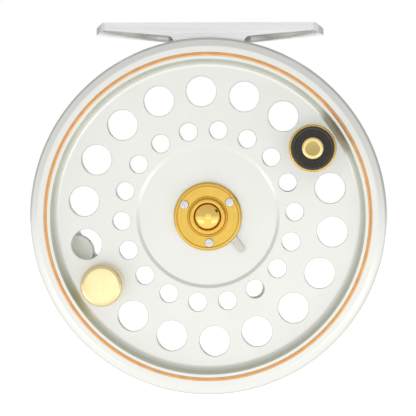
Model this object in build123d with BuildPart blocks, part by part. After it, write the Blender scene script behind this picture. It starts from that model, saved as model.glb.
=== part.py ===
"""Fly reel: a caged frame with a rod foot, a ported spool with an exposed palming rim, a sprung
spool latch, a click check and its regulator.

The origin is at the lowest line of the foot's saddle, half way along it. +Z points up into the
rod, +X runs along the rod and +Y points to the back of the reel, away from the handle.
All sizes are in millimetres. Angles on the reel's face are counted anticlockwise from +X as
seen from the front.
"""

import os
from math import asin, atan2, cos, degrees, radians, sin, sqrt

from build123d import *

os.makedirs("parts", exist_ok=True)

# Rod foot
FOOT_LENGTH = 63.7
FOOT_WIDTH = 13.0
FOOT_EDGE_LENGTH = 58.0
SADDLE_RADIUS = 11.5
LAND_WIDTH = 0.6
FOOT_TIP_SIDE = 1.9
FOOT_ROOT_SIDE = 3.7
FOOT_DROOP = 1.6
FOOT_ROOT_X = 11.6
PEDESTAL_WIDTH = 19.5
FOOT_SCREW_X = 5.0

# The lands are the two flat strips beside the saddle; the spindle hangs below them
SADDLE_HALF_WIDTH = FOOT_WIDTH / 2 - LAND_WIDTH
LAND_Z = SADDLE_RADIUS - sqrt(SADDLE_RADIUS**2 - SADDLE_HALF_WIDTH**2)
SPINDLE_DROP = 53.7
SPINDLE_Z = LAND_Z - SPINDLE_DROP

# Spool, from the rim inwards
RIM_RADIUS = 49.2
RIM_FRONT_Y = -15.0
RIM_FLAT_OUTER = 46.9
RIM_BACK_Y = -9.4
SKIRT_INNER = 47.8
LIP_INNER = 43.3
INLAY_INNER = 44.2
INLAY_OUTER = 45.15
INLAY_DEPTH = 0.6
FACE_RADIUS = 41.0
FACE_Y = -11.6
FACE_BACK_Y = -10.0
RECESS_RADIUS = 18.9
RECESS_Y = -11.0
DRUM_RADIUS = 20.4
DRUM_WALL = 1.5
HUB_RADIUS = 9.5
REAR_FLANGE_RADIUS = 41.4
REAR_FLANGE_Y = 7.2
REAR_FLANGE_THICKNESS = 1.2
REAR_OUTER_RING = 35.4
REAR_OUTER_PORT = 5.2
REAR_INNER_RING = 24.6
REAR_INNER_PORT = 3.6
REAR_FACE_Y = REAR_FLANGE_Y + REAR_FLANGE_THICKNESS

# Ports: two rings of holes with the same pitch, half a pitch apart
STATIONS = 18
PITCH = 360 / STATIONS
SPOOL_PHASE = 3.1
OUTER_PHASE = SPOOL_PHASE + PITCH / 2
OUTER_PORT_RING = 34.5
OUTER_PORT_RADIUS = 4.25
INNER_PORT_RING = 23.9
INNER_PORT_RADIUS = 2.58

# Handle and counterweight sit in two stations of the outer ring that have no hole
HANDLE_RING = 34.4
HANDLE_ANGLE = OUTER_PHASE + PITCH
KNOB_RADIUS = 5.9
KNOB_LENGTH = 18.0
KNOB_WAIST = 5.1
POST_RADIUS = 2.0
HANDLE_PLATE_RADIUS = 6.57
COUNTERWEIGHT_ANGLE = HANDLE_ANGLE + 180
COUNTERWEIGHT_RADIUS = 5.75
COUNTERWEIGHT_HEIGHT = 7.0
RIVET_RADIUS = 1.6

# Spindle, bushes and latch
SPINDLE_RADIUS = 3.5
RUNNING_CLEARANCE = 0.05
BUSH_OUTER = 4.6
BUSH_LENGTH = 5.0
GROOVE_RADIUS = 2.7
NOSE_Y = -16.0
NOSE_RADIUS = 3.8
COVER_RADIUS = 9.4
COVER_Y = -13.4
COVER_POCKET = 6.2
COVER_ROOF = 0.7
COLLAR_RADIUS = 4.9
COLLAR_Y = -14.6
COVER_SCREW_RING = 7.2
COVER_SCREW_HEAD = 1.225
COVER_SCREW_SHANK = 0.6
LEVER_FRONT_Y = -12.5
LEVER_THICKNESS = 0.8
LEVER_WIDTH = 2.0
LEVER_PIVOT = (-0.93, 4.73)
LEVER_TIP = (9.13, -8.97)
LEVER_SWING = 11

# Frame
FRAME_RADIUS = 48.4
RING_INNER = 42.2
RING_FRONT_Y = -9.0
RING_BACK_Y = -6.6
TONGUE_INNER = 44.9
TONGUE_OUTER = 47.2
TONGUE_FRONT_Y = -12.8
PLATE_FRONT_Y = 11.2
PLATE_BACK_Y = 14.0
PLATE_WEB_Y = 13.4
PLATE_RIM_INNER = 43.0
PLATE_OUTER_RING = 35.9
PLATE_OUTER_PORT = 5.6
PLATE_INNER_RING = 24.8
PLATE_INNER_PORT = 3.7
SMALL_PORT_STATIONS = (1, 15)
SMALL_PORTS = ((23.6, 23.3), (24.1, -60.6))
SMALL_PORT_RADIUS = 2.73
PILLAR_RADIUS = 2.5
PILLAR_RING = 45.0
PILLAR_ANGLES = (20, 160, 225, 315)
BRIDGE_INNER = 43.9
BRIDGE_HALF_ANGLE = 14
BRIDGE_SCREW_RING = 46.15
BRIDGE_SCREW_ANGLES = (81, 99)
SCREW_RADIUS = 1.2
SCREW_HEAD = 2.1

# Click check: a ratchet wheel on the spool, a sprung pawl and a regulator on the frame
GEAR_TEETH = 36
GEAR_TIP = 17.4
GEAR_ROOT = 15.9
GEAR_BORE = 7.1
GEAR_THICKNESS = 1.5
GEAR_SCREW_RING = 11.0
GEAR_SCREW_SHANK = 0.8
PAWL_RING = 21.9
PAWL_ANGLE = 12.1
PAWL_REACH = 19.1
PAWL_Y = 8.8
PAWL_THICKNESS = 1.0
PAWL_EYE = 1.75
PAWL_PIN = 1.1
PAWL_ARM = 1.3
STUD_RING = 30.9
STUD_ANGLE = -56.9
STUD_RADIUS = 1.3
POST_SHANK = 0.9
SPRING_COIL = 1.9
SPRING_WIRE = 0.5
REGULATOR_RING = 40.15
REGULATOR_ANGLE = -164.3
REGULATOR_PAD = 4.9
PAD_FILLET = 1.9
REGULATOR_SHAFT = 1.4
CRANK_DISC = 4.8
CRANK_THROW = 3.4
CRANK_PIN = 0.6
STRIP_INNER = 28.9
STRIP_OUTER = 31.4
STRIP_Y = 10.2
STRIP_THICKNESS = 0.8
STRIP_END_ANGLE = -69.5
STRIP_START_ANGLE = -157.6
FINGER_ANGLE = -156.4
FINGER_INNER = 36.5
FINGER_OUTER = 38.2
FORK_SLOT = 1.9
GUIDE_ANGLES = (-136.9, -96.9)
GUIDE_PIN = 0.5
REGULATOR_SWING = 3.65
REGULATOR_KNOB = 4.1
KNOB_GAP = 0.3
KNOB_HEIGHT = 4.2
KNOB_FLUTES = 24
FLUTE_RADIUS = 0.42
SHAFT_END_Y = PLATE_BACK_Y + 3.7

# FACE looks at the reel from the front: local z points forward, so a plane at height y is
# FACE.offset(-y). PROFILE holds half sections: local x is the radius and local y is global Y.
FACE = Plane(origin=(0, 0, SPINDLE_Z), x_dir=(1, 0, 0), z_dir=(0, -1, 0))
PROFILE = Plane(origin=(0, 0, SPINDLE_Z), x_dir=(1, 0, 0), z_dir=(0, 0, 1))
SPINDLE_AXIS = Axis((0, 0, SPINDLE_Z), (0, 1, 0))


def polar(radius, angle):
    """Return the face coordinates of a point given by its radius and angle."""
    return (radius * cos(radians(angle)), radius * sin(radians(angle)))


def at_y(y):
    """Return the plane across the spindle at the given Y, facing forward."""
    return FACE.offset(-y)


def profile_at(radius, angle):
    """Return a half-section plane for a turned part off the spindle's axis."""
    x, z = polar(radius, angle)
    return Plane(origin=(x, 0, SPINDLE_Z + z), x_dir=(1, 0, 0), z_dir=(0, 0, 1))


def axis_at(radius, angle):
    """Return the axis along Y of a turned part off the spindle's axis."""
    x, z = polar(radius, angle)
    return Axis((x, 0, SPINDLE_Z + z), (0, 1, 0))


def finish_part(part, label):
    """Label a finished part and write it."""
    part.label = label
    export_step(part, f"parts/{label}.step")


# --- Frame -----------------------------------------------------------------------------------

plain_stations = [k for k in range(STATIONS) if k not in SMALL_PORT_STATIONS]

with BuildPart() as back_plate:
    with BuildSketch(PROFILE):
        with BuildLine():
            Polyline(
                (3.0, PLATE_FRONT_Y),
                (FRAME_RADIUS - 0.4, PLATE_FRONT_Y),
                (FRAME_RADIUS, PLATE_FRONT_Y + 0.4),
                (FRAME_RADIUS, PLATE_BACK_Y - 1.4),
            )
            RadiusArc((FRAME_RADIUS, PLATE_BACK_Y - 1.4), (FRAME_RADIUS - 1.4, PLATE_BACK_Y), -1.4)
            Polyline(
                (FRAME_RADIUS - 1.4, PLATE_BACK_Y),
                (PLATE_RIM_INNER, PLATE_BACK_Y),
                (PLATE_RIM_INNER - 1.0, PLATE_WEB_Y),
                (15.0, PLATE_WEB_Y),
                (14.0, PLATE_BACK_Y),
                (3.0, PLATE_BACK_Y),
                (3.0, PLATE_FRONT_Y),
            )
        make_face()
    revolve(axis=SPINDLE_AXIS)
    with BuildSketch(at_y(PLATE_BACK_Y + 1)):
        with PolarLocations(PLATE_OUTER_RING, STATIONS, OUTER_PHASE):
            Circle(PLATE_OUTER_PORT)
        with Locations(*[polar(PLATE_INNER_RING, SPOOL_PHASE + PITCH * k) for k in plain_stations]):
            Circle(PLATE_INNER_PORT)
        with Locations(*[polar(*place) for place in SMALL_PORTS]):
            Circle(SMALL_PORT_RADIUS)
        # A round pad left in one port, blended into its edge, carries the regulator's knob
        with Locations(polar(REGULATOR_RING, REGULATOR_ANGLE)):
            Circle(REGULATOR_PAD, mode=Mode.SUBTRACT)
        fillet(vertices(Select.LAST), PAD_FILLET)
    extrude(amount=PLATE_BACK_Y - PLATE_FRONT_Y + 2, mode=Mode.SUBTRACT)
    with BuildSketch(at_y(PLATE_BACK_Y + 1)):
        with Locations(*[polar(PILLAR_RING, angle) for angle in PILLAR_ANGLES]):
            Circle(SCREW_RADIUS)
        with Locations(*[polar(BRIDGE_SCREW_RING, angle) for angle in BRIDGE_SCREW_ANGLES]):
            Circle(SCREW_RADIUS)
        with Locations(polar(PAWL_RING, PAWL_ANGLE), polar(STUD_RING, STUD_ANGLE)):
            Circle(POST_SHANK)
        with Locations(polar(REGULATOR_RING, REGULATOR_ANGLE)):
            Circle(REGULATOR_SHAFT + RUNNING_CLEARANCE)
        with Locations(*[polar((STRIP_INNER + STRIP_OUTER) / 2, angle) for angle in GUIDE_ANGLES]):
            Circle(GUIDE_PIN)
    extrude(amount=PLATE_BACK_Y - PLATE_FRONT_Y + 2, mode=Mode.SUBTRACT)
finish_part(back_plate.part, "back_plate")

with BuildPart() as front_ring:
    with BuildSketch(PROFILE):
        with BuildLine():
            Polyline(
                (RING_INNER, RING_BACK_Y),
                (RING_INNER, RING_FRONT_Y),
                (TONGUE_INNER, RING_FRONT_Y),
                (TONGUE_INNER, TONGUE_FRONT_Y),
                (TONGUE_OUTER, TONGUE_FRONT_Y),
                (TONGUE_OUTER, RING_FRONT_Y),
                (FRAME_RADIUS - 0.4, RING_FRONT_Y),
                (FRAME_RADIUS, RING_FRONT_Y + 0.4),
                (FRAME_RADIUS, RING_BACK_Y - 0.4),
                (FRAME_RADIUS - 0.4, RING_BACK_Y),
                close=True,
            )
        make_face()
    revolve(axis=SPINDLE_AXIS)
    with BuildSketch(at_y(RING_BACK_Y)):
        with Locations(*[polar(PILLAR_RING, angle) for angle in PILLAR_ANGLES]):
            Circle(1.5)
    extrude(amount=1.6, mode=Mode.SUBTRACT)
finish_part(front_ring.part, "front_ring")

with BuildPart() as pillars:
    for angle in PILLAR_ANGLES:
        with BuildSketch(profile_at(PILLAR_RING, angle)):
            with BuildLine():
                Polyline((0, RING_BACK_Y - 1.6), (1.5, RING_BACK_Y - 1.6), (1.5, RING_BACK_Y),
                         (PILLAR_RADIUS, RING_BACK_Y), (PILLAR_RADIUS, RING_BACK_Y + 2))
                ThreePointArc((PILLAR_RADIUS, RING_BACK_Y + 2), (PILLAR_RADIUS - 0.4, 2.3),
                              (PILLAR_RADIUS, PLATE_FRONT_Y - 2))
                Polyline((PILLAR_RADIUS, PLATE_FRONT_Y - 2), (PILLAR_RADIUS, PLATE_FRONT_Y),
                         (SCREW_RADIUS, PLATE_FRONT_Y), (SCREW_RADIUS, PLATE_FRONT_Y - 5),
                         (0, PLATE_FRONT_Y - 5), (0, RING_BACK_Y - 1.6))
            make_face()
        revolve(axis=axis_at(PILLAR_RING, angle))
finish_part(pillars.part, "pillars")

with BuildPart() as foot_bridge:
    with BuildSketch(at_y(PLATE_FRONT_Y)):
        with BuildLine():
            outer = CenterArc((0, 0), FRAME_RADIUS, 90 - BRIDGE_HALF_ANGLE, 2 * BRIDGE_HALF_ANGLE)
            inner = CenterArc((0, 0), BRIDGE_INNER, 90 - BRIDGE_HALF_ANGLE, 2 * BRIDGE_HALF_ANGLE)
            Line(outer @ 0, inner @ 0)
            Line(outer @ 1, inner @ 1)
        make_face()
    extrude(amount=PLATE_FRONT_Y - RING_BACK_Y)
    with BuildSketch(Plane.XY.offset(SPINDLE_Z + BRIDGE_INNER - 3)):
        with Locations((-FOOT_SCREW_X, 0), (FOOT_SCREW_X, 0)):
            Circle(SCREW_HEAD)
    extrude(amount=5.0, mode=Mode.SUBTRACT)
    with BuildSketch(Plane.XY.offset(SPINDLE_Z + BRIDGE_INNER - 3)):
        with Locations((-FOOT_SCREW_X, 0), (FOOT_SCREW_X, 0)):
            Circle(SCREW_RADIUS)
    extrude(amount=9.0, mode=Mode.SUBTRACT)
    with BuildSketch(at_y(PLATE_FRONT_Y + 1)):
        with Locations(*[polar(BRIDGE_SCREW_RING, angle) for angle in BRIDGE_SCREW_ANGLES]):
            Circle(SCREW_RADIUS)
    extrude(amount=6.0, mode=Mode.SUBTRACT)
finish_part(foot_bridge.part, "foot_bridge")

with BuildPart() as frame_screws:
    screw_places = [(PILLAR_RING, angle) for angle in PILLAR_ANGLES]
    screw_places += [(BRIDGE_SCREW_RING, angle) for angle in BRIDGE_SCREW_ANGLES]
    for radius, angle in screw_places:
        with BuildSketch(profile_at(radius, angle)):
            with BuildLine():
                Polyline((0, PLATE_FRONT_Y - 4), (SCREW_RADIUS, PLATE_FRONT_Y - 4),
                         (SCREW_RADIUS, PLATE_BACK_Y), (SCREW_HEAD, PLATE_BACK_Y),
                         (SCREW_HEAD, PLATE_BACK_Y + 0.5), (SCREW_HEAD - 0.4, PLATE_BACK_Y + 0.9),
                         (0, PLATE_BACK_Y + 0.9), (0, PLATE_FRONT_Y - 4))
            make_face()
        revolve(axis=axis_at(radius, angle))
        with BuildSketch(at_y(PLATE_BACK_Y + 1)):
            with Locations(polar(radius, angle)):
                Rectangle(5, 0.5, rotation=angle * 3)
        extrude(amount=0.6, mode=Mode.SUBTRACT)
finish_part(frame_screws.part, "frame_screws")

# --- Rod foot --------------------------------------------------------------------------------


def foot_section(x, side_height):
    """Sketch the foot's cross-section at x: the saddle above, a convex underside below."""
    half = FOOT_WIDTH / 2
    low = LAND_Z - side_height
    with BuildSketch(Plane(origin=(x, 0, 0), x_dir=(0, 1, 0), z_dir=(1, 0, 0))) as section:
        with BuildLine():
            ThreePointArc((-SADDLE_HALF_WIDTH, LAND_Z), (0, 0), (SADDLE_HALF_WIDTH, LAND_Z))
            Polyline((SADDLE_HALF_WIDTH, LAND_Z), (half, LAND_Z), (half, low))
            ThreePointArc((half, low), (0, low - FOOT_DROOP), (-half, low))
            Polyline((-half, low), (-half, LAND_Z), (-SADDLE_HALF_WIDTH, LAND_Z))
        make_face()
    return section.sketch


with BuildPart() as foot:
    # The blade thins from the pedestal to each tip
    for side in (-1, 1):
        root = foot_section(side * FOOT_ROOT_X, FOOT_ROOT_SIDE)
        tip = foot_section(side * FOOT_LENGTH / 2, FOOT_TIP_SIDE)
        loft([root, tip], ruled=True)
    extrude(foot_section(-FOOT_ROOT_X, FOOT_ROOT_SIDE), amount=2 * FOOT_ROOT_X)
    # The pedestal runs down to the frame, with a small flare where it meets the blade
    with BuildSketch(Plane(origin=(0, FOOT_WIDTH / 2, 0), x_dir=(1, 0, 0), z_dir=(0, -1, 0))):
        half = PEDESTAL_WIDTH / 2
        blade_low = LAND_Z - FOOT_ROOT_SIDE
        with BuildLine():
            Polyline((half, -8), (half, blade_low - 1.8))
            RadiusArc((half, blade_low - 1.8), (FOOT_ROOT_X - 0.05, blade_low), 1.85)
            Polyline((FOOT_ROOT_X - 0.05, blade_low), (FOOT_ROOT_X - 0.05, -1.5),
                     (0.05 - FOOT_ROOT_X, -1.5), (0.05 - FOOT_ROOT_X, blade_low))
            RadiusArc((0.05 - FOOT_ROOT_X, blade_low), (-half, blade_low - 1.8), 1.85)
            Polyline((-half, blade_low - 1.8), (-half, -8), (half, -8))
        make_face()
    extrude(amount=FOOT_WIDTH)
    # Both ends are round in plan
    with BuildSketch(Plane.XY.offset(-10)):
        with BuildLine():
            half = FOOT_WIDTH / 2
            edge = FOOT_EDGE_LENGTH / 2
            Line((-edge, -half), (edge, -half))
            ThreePointArc((edge, -half), (FOOT_LENGTH / 2, 0), (edge, half))
            Line((edge, half), (-edge, half))
            ThreePointArc((-edge, half), (-FOOT_LENGTH / 2, 0), (-edge, -half))
        make_face()
    extrude(amount=20, mode=Mode.INTERSECT)
    with BuildSketch(at_y(10)):
        Circle(FRAME_RADIUS)
    extrude(amount=20, mode=Mode.SUBTRACT)
    with BuildSketch(Plane.XY.offset(-8)):
        with Locations((-FOOT_SCREW_X, 0), (FOOT_SCREW_X, 0)):
            Circle(SCREW_RADIUS)
    extrude(amount=6, mode=Mode.SUBTRACT)
finish_part(foot.part, "foot")

with BuildPart() as foot_screws:
    head_z = SPINDLE_Z + BRIDGE_INNER + 0.35
    for side in (-1, 1):
        upright = Plane(origin=(side * FOOT_SCREW_X, 0, head_z), x_dir=(1, 0, 0), z_dir=(0, -1, 0))
        with BuildSketch(upright):
            with BuildLine():
                Polyline((0, 0), (SCREW_HEAD - 0.3, 0), (SCREW_HEAD - 0.1, 0.3), (SCREW_HEAD - 0.1, 1.65),
                         (SCREW_RADIUS, 1.65), (SCREW_RADIUS, 5.6), (0, 5.6), (0, 0))
            make_face()
        revolve(axis=Axis((side * FOOT_SCREW_X, 0, 0), (0, 0, 1)))
        with BuildSketch(Plane.XY.offset(head_z)):
            with Locations((side * FOOT_SCREW_X, 0)):
                Rectangle(5, 0.5, rotation=30 * side)
        extrude(amount=0.7, mode=Mode.SUBTRACT)
finish_part(foot_screws.part, "foot_screws")

# --- Spindle ---------------------------------------------------------------------------------

LEVER_BACK_Y = LEVER_FRONT_Y + LEVER_THICKNESS
NOSE_CENTRE_Y = NOSE_Y + NOSE_RADIUS
NOSE_ANGLE = degrees(asin(SPINDLE_RADIUS / NOSE_RADIUS))

with BuildPart() as spindle:
    with BuildSketch(PROFILE):
        with BuildLine():
            # A thrust collar, the long journal, the latch groove and a domed nose
            Polyline((0, 16.0), (2.2, 16.0), (2.2, PLATE_BACK_Y), (3.0, PLATE_BACK_Y),
                     (3.0, PLATE_FRONT_Y), (6.4, PLATE_FRONT_Y), (6.4, REAR_FACE_Y + 0.2),
                     (SPINDLE_RADIUS, REAR_FACE_Y + 0.2), (SPINDLE_RADIUS, LEVER_BACK_Y + 0.3),
                     (GROOVE_RADIUS, LEVER_BACK_Y + 0.3), (GROOVE_RADIUS, LEVER_FRONT_Y - 0.3),
                     (SPINDLE_RADIUS, LEVER_FRONT_Y - 0.3))
            nose = CenterArc((0, NOSE_CENTRE_Y), NOSE_RADIUS, 270, NOSE_ANGLE)
            Line((SPINDLE_RADIUS, LEVER_FRONT_Y - 0.3), nose @ 1)
            Line(nose @ 0, (0, 16.0))
        make_face()
    revolve(axis=SPINDLE_AXIS)
finish_part(spindle.part, "spindle")

with BuildPart() as spindle_nut:
    with BuildSketch(PROFILE):
        with BuildLine():
            Polyline((2.2, PLATE_BACK_Y), (6.0, PLATE_BACK_Y), (6.0, PLATE_BACK_Y + 1.6))
            ThreePointArc((6.0, PLATE_BACK_Y + 1.6), (4.6, PLATE_BACK_Y + 2.5), (0, PLATE_BACK_Y + 2.9))
            Polyline((0, PLATE_BACK_Y + 2.9), (0, 16.0), (2.2, 16.0), (2.2, PLATE_BACK_Y))
        make_face()
    revolve(axis=SPINDLE_AXIS)
    with BuildSketch(at_y(PLATE_BACK_Y + 3)):
        Rectangle(14, 0.9)
    extrude(amount=0.7, mode=Mode.SUBTRACT)
finish_part(spindle_nut.part, "spindle_nut")

# --- Spool -----------------------------------------------------------------------------------

handle_place = polar(HANDLE_RING, HANDLE_ANGLE)
counterweight_place = polar(OUTER_PORT_RING, COUNTERWEIGHT_ANGLE)
cover_screw_angles = [HANDLE_ANGLE + 120 * k for k in range(3)]
open_stations = [k for k in range(STATIONS) if k not in (1, 1 + STATIONS // 2)]

with BuildPart() as spool_face:
    with BuildSketch(PROFILE):
        with BuildLine():
            Polyline((BUSH_OUTER, FACE_BACK_Y), (BUSH_OUTER, RECESS_Y), (RECESS_RADIUS, RECESS_Y),
                     (RECESS_RADIUS + 0.9, FACE_Y), (FACE_RADIUS, FACE_Y))
            # The dish wall: a cove up to a steep wall and a rounded lip
            ThreePointArc((FACE_RADIUS, FACE_Y), (41.85, -11.95), (42.3, -12.8))
            Line((42.3, -12.8), (LIP_INNER - 0.05, RIM_FRONT_Y + 0.3))
            ThreePointArc((LIP_INNER - 0.05, RIM_FRONT_Y + 0.3), (43.37, -14.92), (43.6, RIM_FRONT_Y))
            Polyline((43.6, RIM_FRONT_Y), (INLAY_INNER, RIM_FRONT_Y),
                     (INLAY_INNER, RIM_FRONT_Y + INLAY_DEPTH), (INLAY_OUTER, RIM_FRONT_Y + INLAY_DEPTH),
                     (INLAY_OUTER, RIM_FRONT_Y), (RIM_FLAT_OUTER, RIM_FRONT_Y))
            ThreePointArc((RIM_FLAT_OUTER, RIM_FRONT_Y), (48.5, -14.0), (RIM_RADIUS, -11.6))
            Polyline((RIM_RADIUS, -11.6), (RIM_RADIUS, RIM_BACK_Y - 0.4), (RIM_RADIUS - 0.4, RIM_BACK_Y),
                     (SKIRT_INNER, RIM_BACK_Y), (SKIRT_INNER, -13.6), (44.3, -13.6), (44.3, -11.2),
                     (43.1, FACE_BACK_Y), (BUSH_OUTER, FACE_BACK_Y))
        make_face()
    revolve(axis=SPINDLE_AXIS)
    with BuildSketch(at_y(FACE_BACK_Y + 1)):
        with Locations(*[polar(OUTER_PORT_RING, OUTER_PHASE + PITCH * k) for k in open_stations]):
            Circle(OUTER_PORT_RADIUS)
        with PolarLocations(INNER_PORT_RING, STATIONS, SPOOL_PHASE):
            Circle(INNER_PORT_RADIUS)
        with Locations(handle_place, counterweight_place):
            Circle(RIVET_RADIUS)
        with Locations(*[polar(COVER_SCREW_RING, angle) for angle in cover_screw_angles]):
            Circle(COVER_SCREW_SHANK)
    extrude(amount=4, mode=Mode.SUBTRACT)
finish_part(spool_face.part, "spool_face")

with BuildPart() as rim_inlay:
    with BuildSketch(PROFILE):
        with BuildLine():
            Polyline((INLAY_INNER, RIM_FRONT_Y + INLAY_DEPTH), (INLAY_OUTER, RIM_FRONT_Y + INLAY_DEPTH),
                     (INLAY_OUTER, RIM_FRONT_Y))
            middle = (INLAY_INNER + INLAY_OUTER) / 2
            ThreePointArc((INLAY_OUTER, RIM_FRONT_Y), (middle, RIM_FRONT_Y - 0.12),
                          (INLAY_INNER, RIM_FRONT_Y))
            Line((INLAY_INNER, RIM_FRONT_Y), (INLAY_INNER, RIM_FRONT_Y + INLAY_DEPTH))
        make_face()
    revolve(axis=SPINDLE_AXIS)
finish_part(rim_inlay.part, "rim_inlay")

with BuildPart() as spool_drum:
    with BuildSketch(PROFILE):
        with BuildLine():
            # The outer wall carries the line; a web at the back joins it to the hub
            Polyline((BUSH_OUTER, FACE_BACK_Y), (HUB_RADIUS, FACE_BACK_Y), (HUB_RADIUS, -7.0),
                     (7.0, -5.5), (7.0, 4.6), (DRUM_RADIUS - DRUM_WALL, 4.6),
                     (DRUM_RADIUS - DRUM_WALL, FACE_BACK_Y), (DRUM_RADIUS, FACE_BACK_Y),
                     (DRUM_RADIUS, REAR_FLANGE_Y), (BUSH_OUTER, REAR_FLANGE_Y), close=True)
        make_face()
    revolve(axis=SPINDLE_AXIS)
    with BuildSketch(at_y(-6.0)):
        with Locations(*[polar(COVER_SCREW_RING, angle) for angle in cover_screw_angles]):
            Circle(COVER_SCREW_SHANK)
    extrude(amount=5, mode=Mode.SUBTRACT)
    with BuildSketch(at_y(REAR_FLANGE_Y)):
        with PolarLocations(GEAR_SCREW_RING, 3, 90):
            Circle(GEAR_SCREW_SHANK)
    extrude(amount=2.4, mode=Mode.SUBTRACT)
finish_part(spool_drum.part, "spool_drum")

with BuildPart() as rear_flange:
    with BuildSketch(PROFILE):
        with BuildLine():
            rim = REAR_FLANGE_RADIUS
            Polyline((BUSH_OUTER, REAR_FLANGE_Y), (rim - 1.2, REAR_FLANGE_Y),
                     (rim - 0.6, REAR_FLANGE_Y - 0.3))
            ThreePointArc((rim - 0.6, REAR_FLANGE_Y - 0.3), (rim, REAR_FLANGE_Y + 0.3),
                          (rim - 0.6, REAR_FACE_Y))
            Polyline((rim - 0.6, REAR_FACE_Y), (BUSH_OUTER, REAR_FACE_Y), (BUSH_OUTER, REAR_FLANGE_Y))
        make_face()
    revolve(axis=SPINDLE_AXIS)
    with BuildSketch(at_y(REAR_FACE_Y + 1)):
        with PolarLocations(REAR_OUTER_RING, STATIONS, OUTER_PHASE):
            Circle(REAR_OUTER_PORT)
        with PolarLocations(REAR_INNER_RING, STATIONS, SPOOL_PHASE):
            Circle(REAR_INNER_PORT)
        with PolarLocations(GEAR_SCREW_RING, 3, 90):
            Circle(GEAR_SCREW_SHANK)
    extrude(amount=4, mode=Mode.SUBTRACT)
finish_part(rear_flange.part, "rear_flange")

bush_spans = {"front_bush": RECESS_Y, "rear_bush": REAR_FACE_Y - BUSH_LENGTH}
for bush_name, start_y in bush_spans.items():
    with BuildPart() as bush:
        with BuildSketch(at_y(start_y + BUSH_LENGTH)):
            Circle(BUSH_OUTER)
            Circle(SPINDLE_RADIUS + RUNNING_CLEARANCE, mode=Mode.SUBTRACT)
        extrude(amount=BUSH_LENGTH)
    finish_part(bush.part, bush_name)

with BuildPart() as click_gear:
    tooth_pitch = 360 / GEAR_TEETH
    gap_angle = PAWL_ANGLE - degrees(atan2(sqrt(PAWL_RING**2 - PAWL_REACH**2), PAWL_REACH))
    gap_tip = degrees(asin(1.2 / GEAR_TIP))
    gap_root = degrees(asin(0.35 / GEAR_ROOT))
    outline = []
    for tooth in range(GEAR_TEETH):
        middle = gap_angle + tooth * tooth_pitch
        outline.append(polar(GEAR_TIP, middle - gap_tip))
        outline.append(polar(GEAR_ROOT, middle - gap_root))
        outline.append(polar(GEAR_ROOT, middle + gap_root))
        outline.append(polar(GEAR_TIP, middle + gap_tip))
    with BuildSketch(at_y(REAR_FACE_Y + GEAR_THICKNESS)):
        with BuildLine():
            Polyline(*outline, close=True)
        make_face()
        Circle(GEAR_BORE, mode=Mode.SUBTRACT)
        with PolarLocations(GEAR_SCREW_RING, 3, 90):
            Circle(GEAR_SCREW_SHANK, mode=Mode.SUBTRACT)
    extrude(amount=GEAR_THICKNESS)
finish_part(click_gear.part, "click_gear")

with BuildPart() as gear_screws:
    head_y = REAR_FACE_Y + GEAR_THICKNESS
    for turn in range(3):
        angle = 90 + 120 * turn
        with BuildSketch(profile_at(GEAR_SCREW_RING, angle)):
            with BuildLine():
                Polyline((0, REAR_FLANGE_Y - 2.2), (GEAR_SCREW_SHANK, REAR_FLANGE_Y - 2.2),
                         (GEAR_SCREW_SHANK, head_y), (1.5, head_y), (1.5, head_y + 0.4),
                         (1.2, head_y + 0.7), (0, head_y + 0.7), close=True)
            make_face()
        revolve(axis=axis_at(GEAR_SCREW_RING, angle))
        with BuildSketch(at_y(head_y + 0.8)):
            with Locations(polar(GEAR_SCREW_RING, angle)):
                Rectangle(4, 0.4, rotation=angle + 25)
        extrude(amount=0.45, mode=Mode.SUBTRACT)
finish_part(gear_screws.part, "gear_screws")

# --- Spool latch -----------------------------------------------------------------------------

lever_heading = degrees(atan2(LEVER_TIP[1] - LEVER_PIVOT[1], LEVER_TIP[0] - LEVER_PIVOT[0]))
lever_reach = sqrt((LEVER_TIP[0] - LEVER_PIVOT[0]) ** 2 + (LEVER_TIP[1] - LEVER_PIVOT[1]) ** 2)

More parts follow.
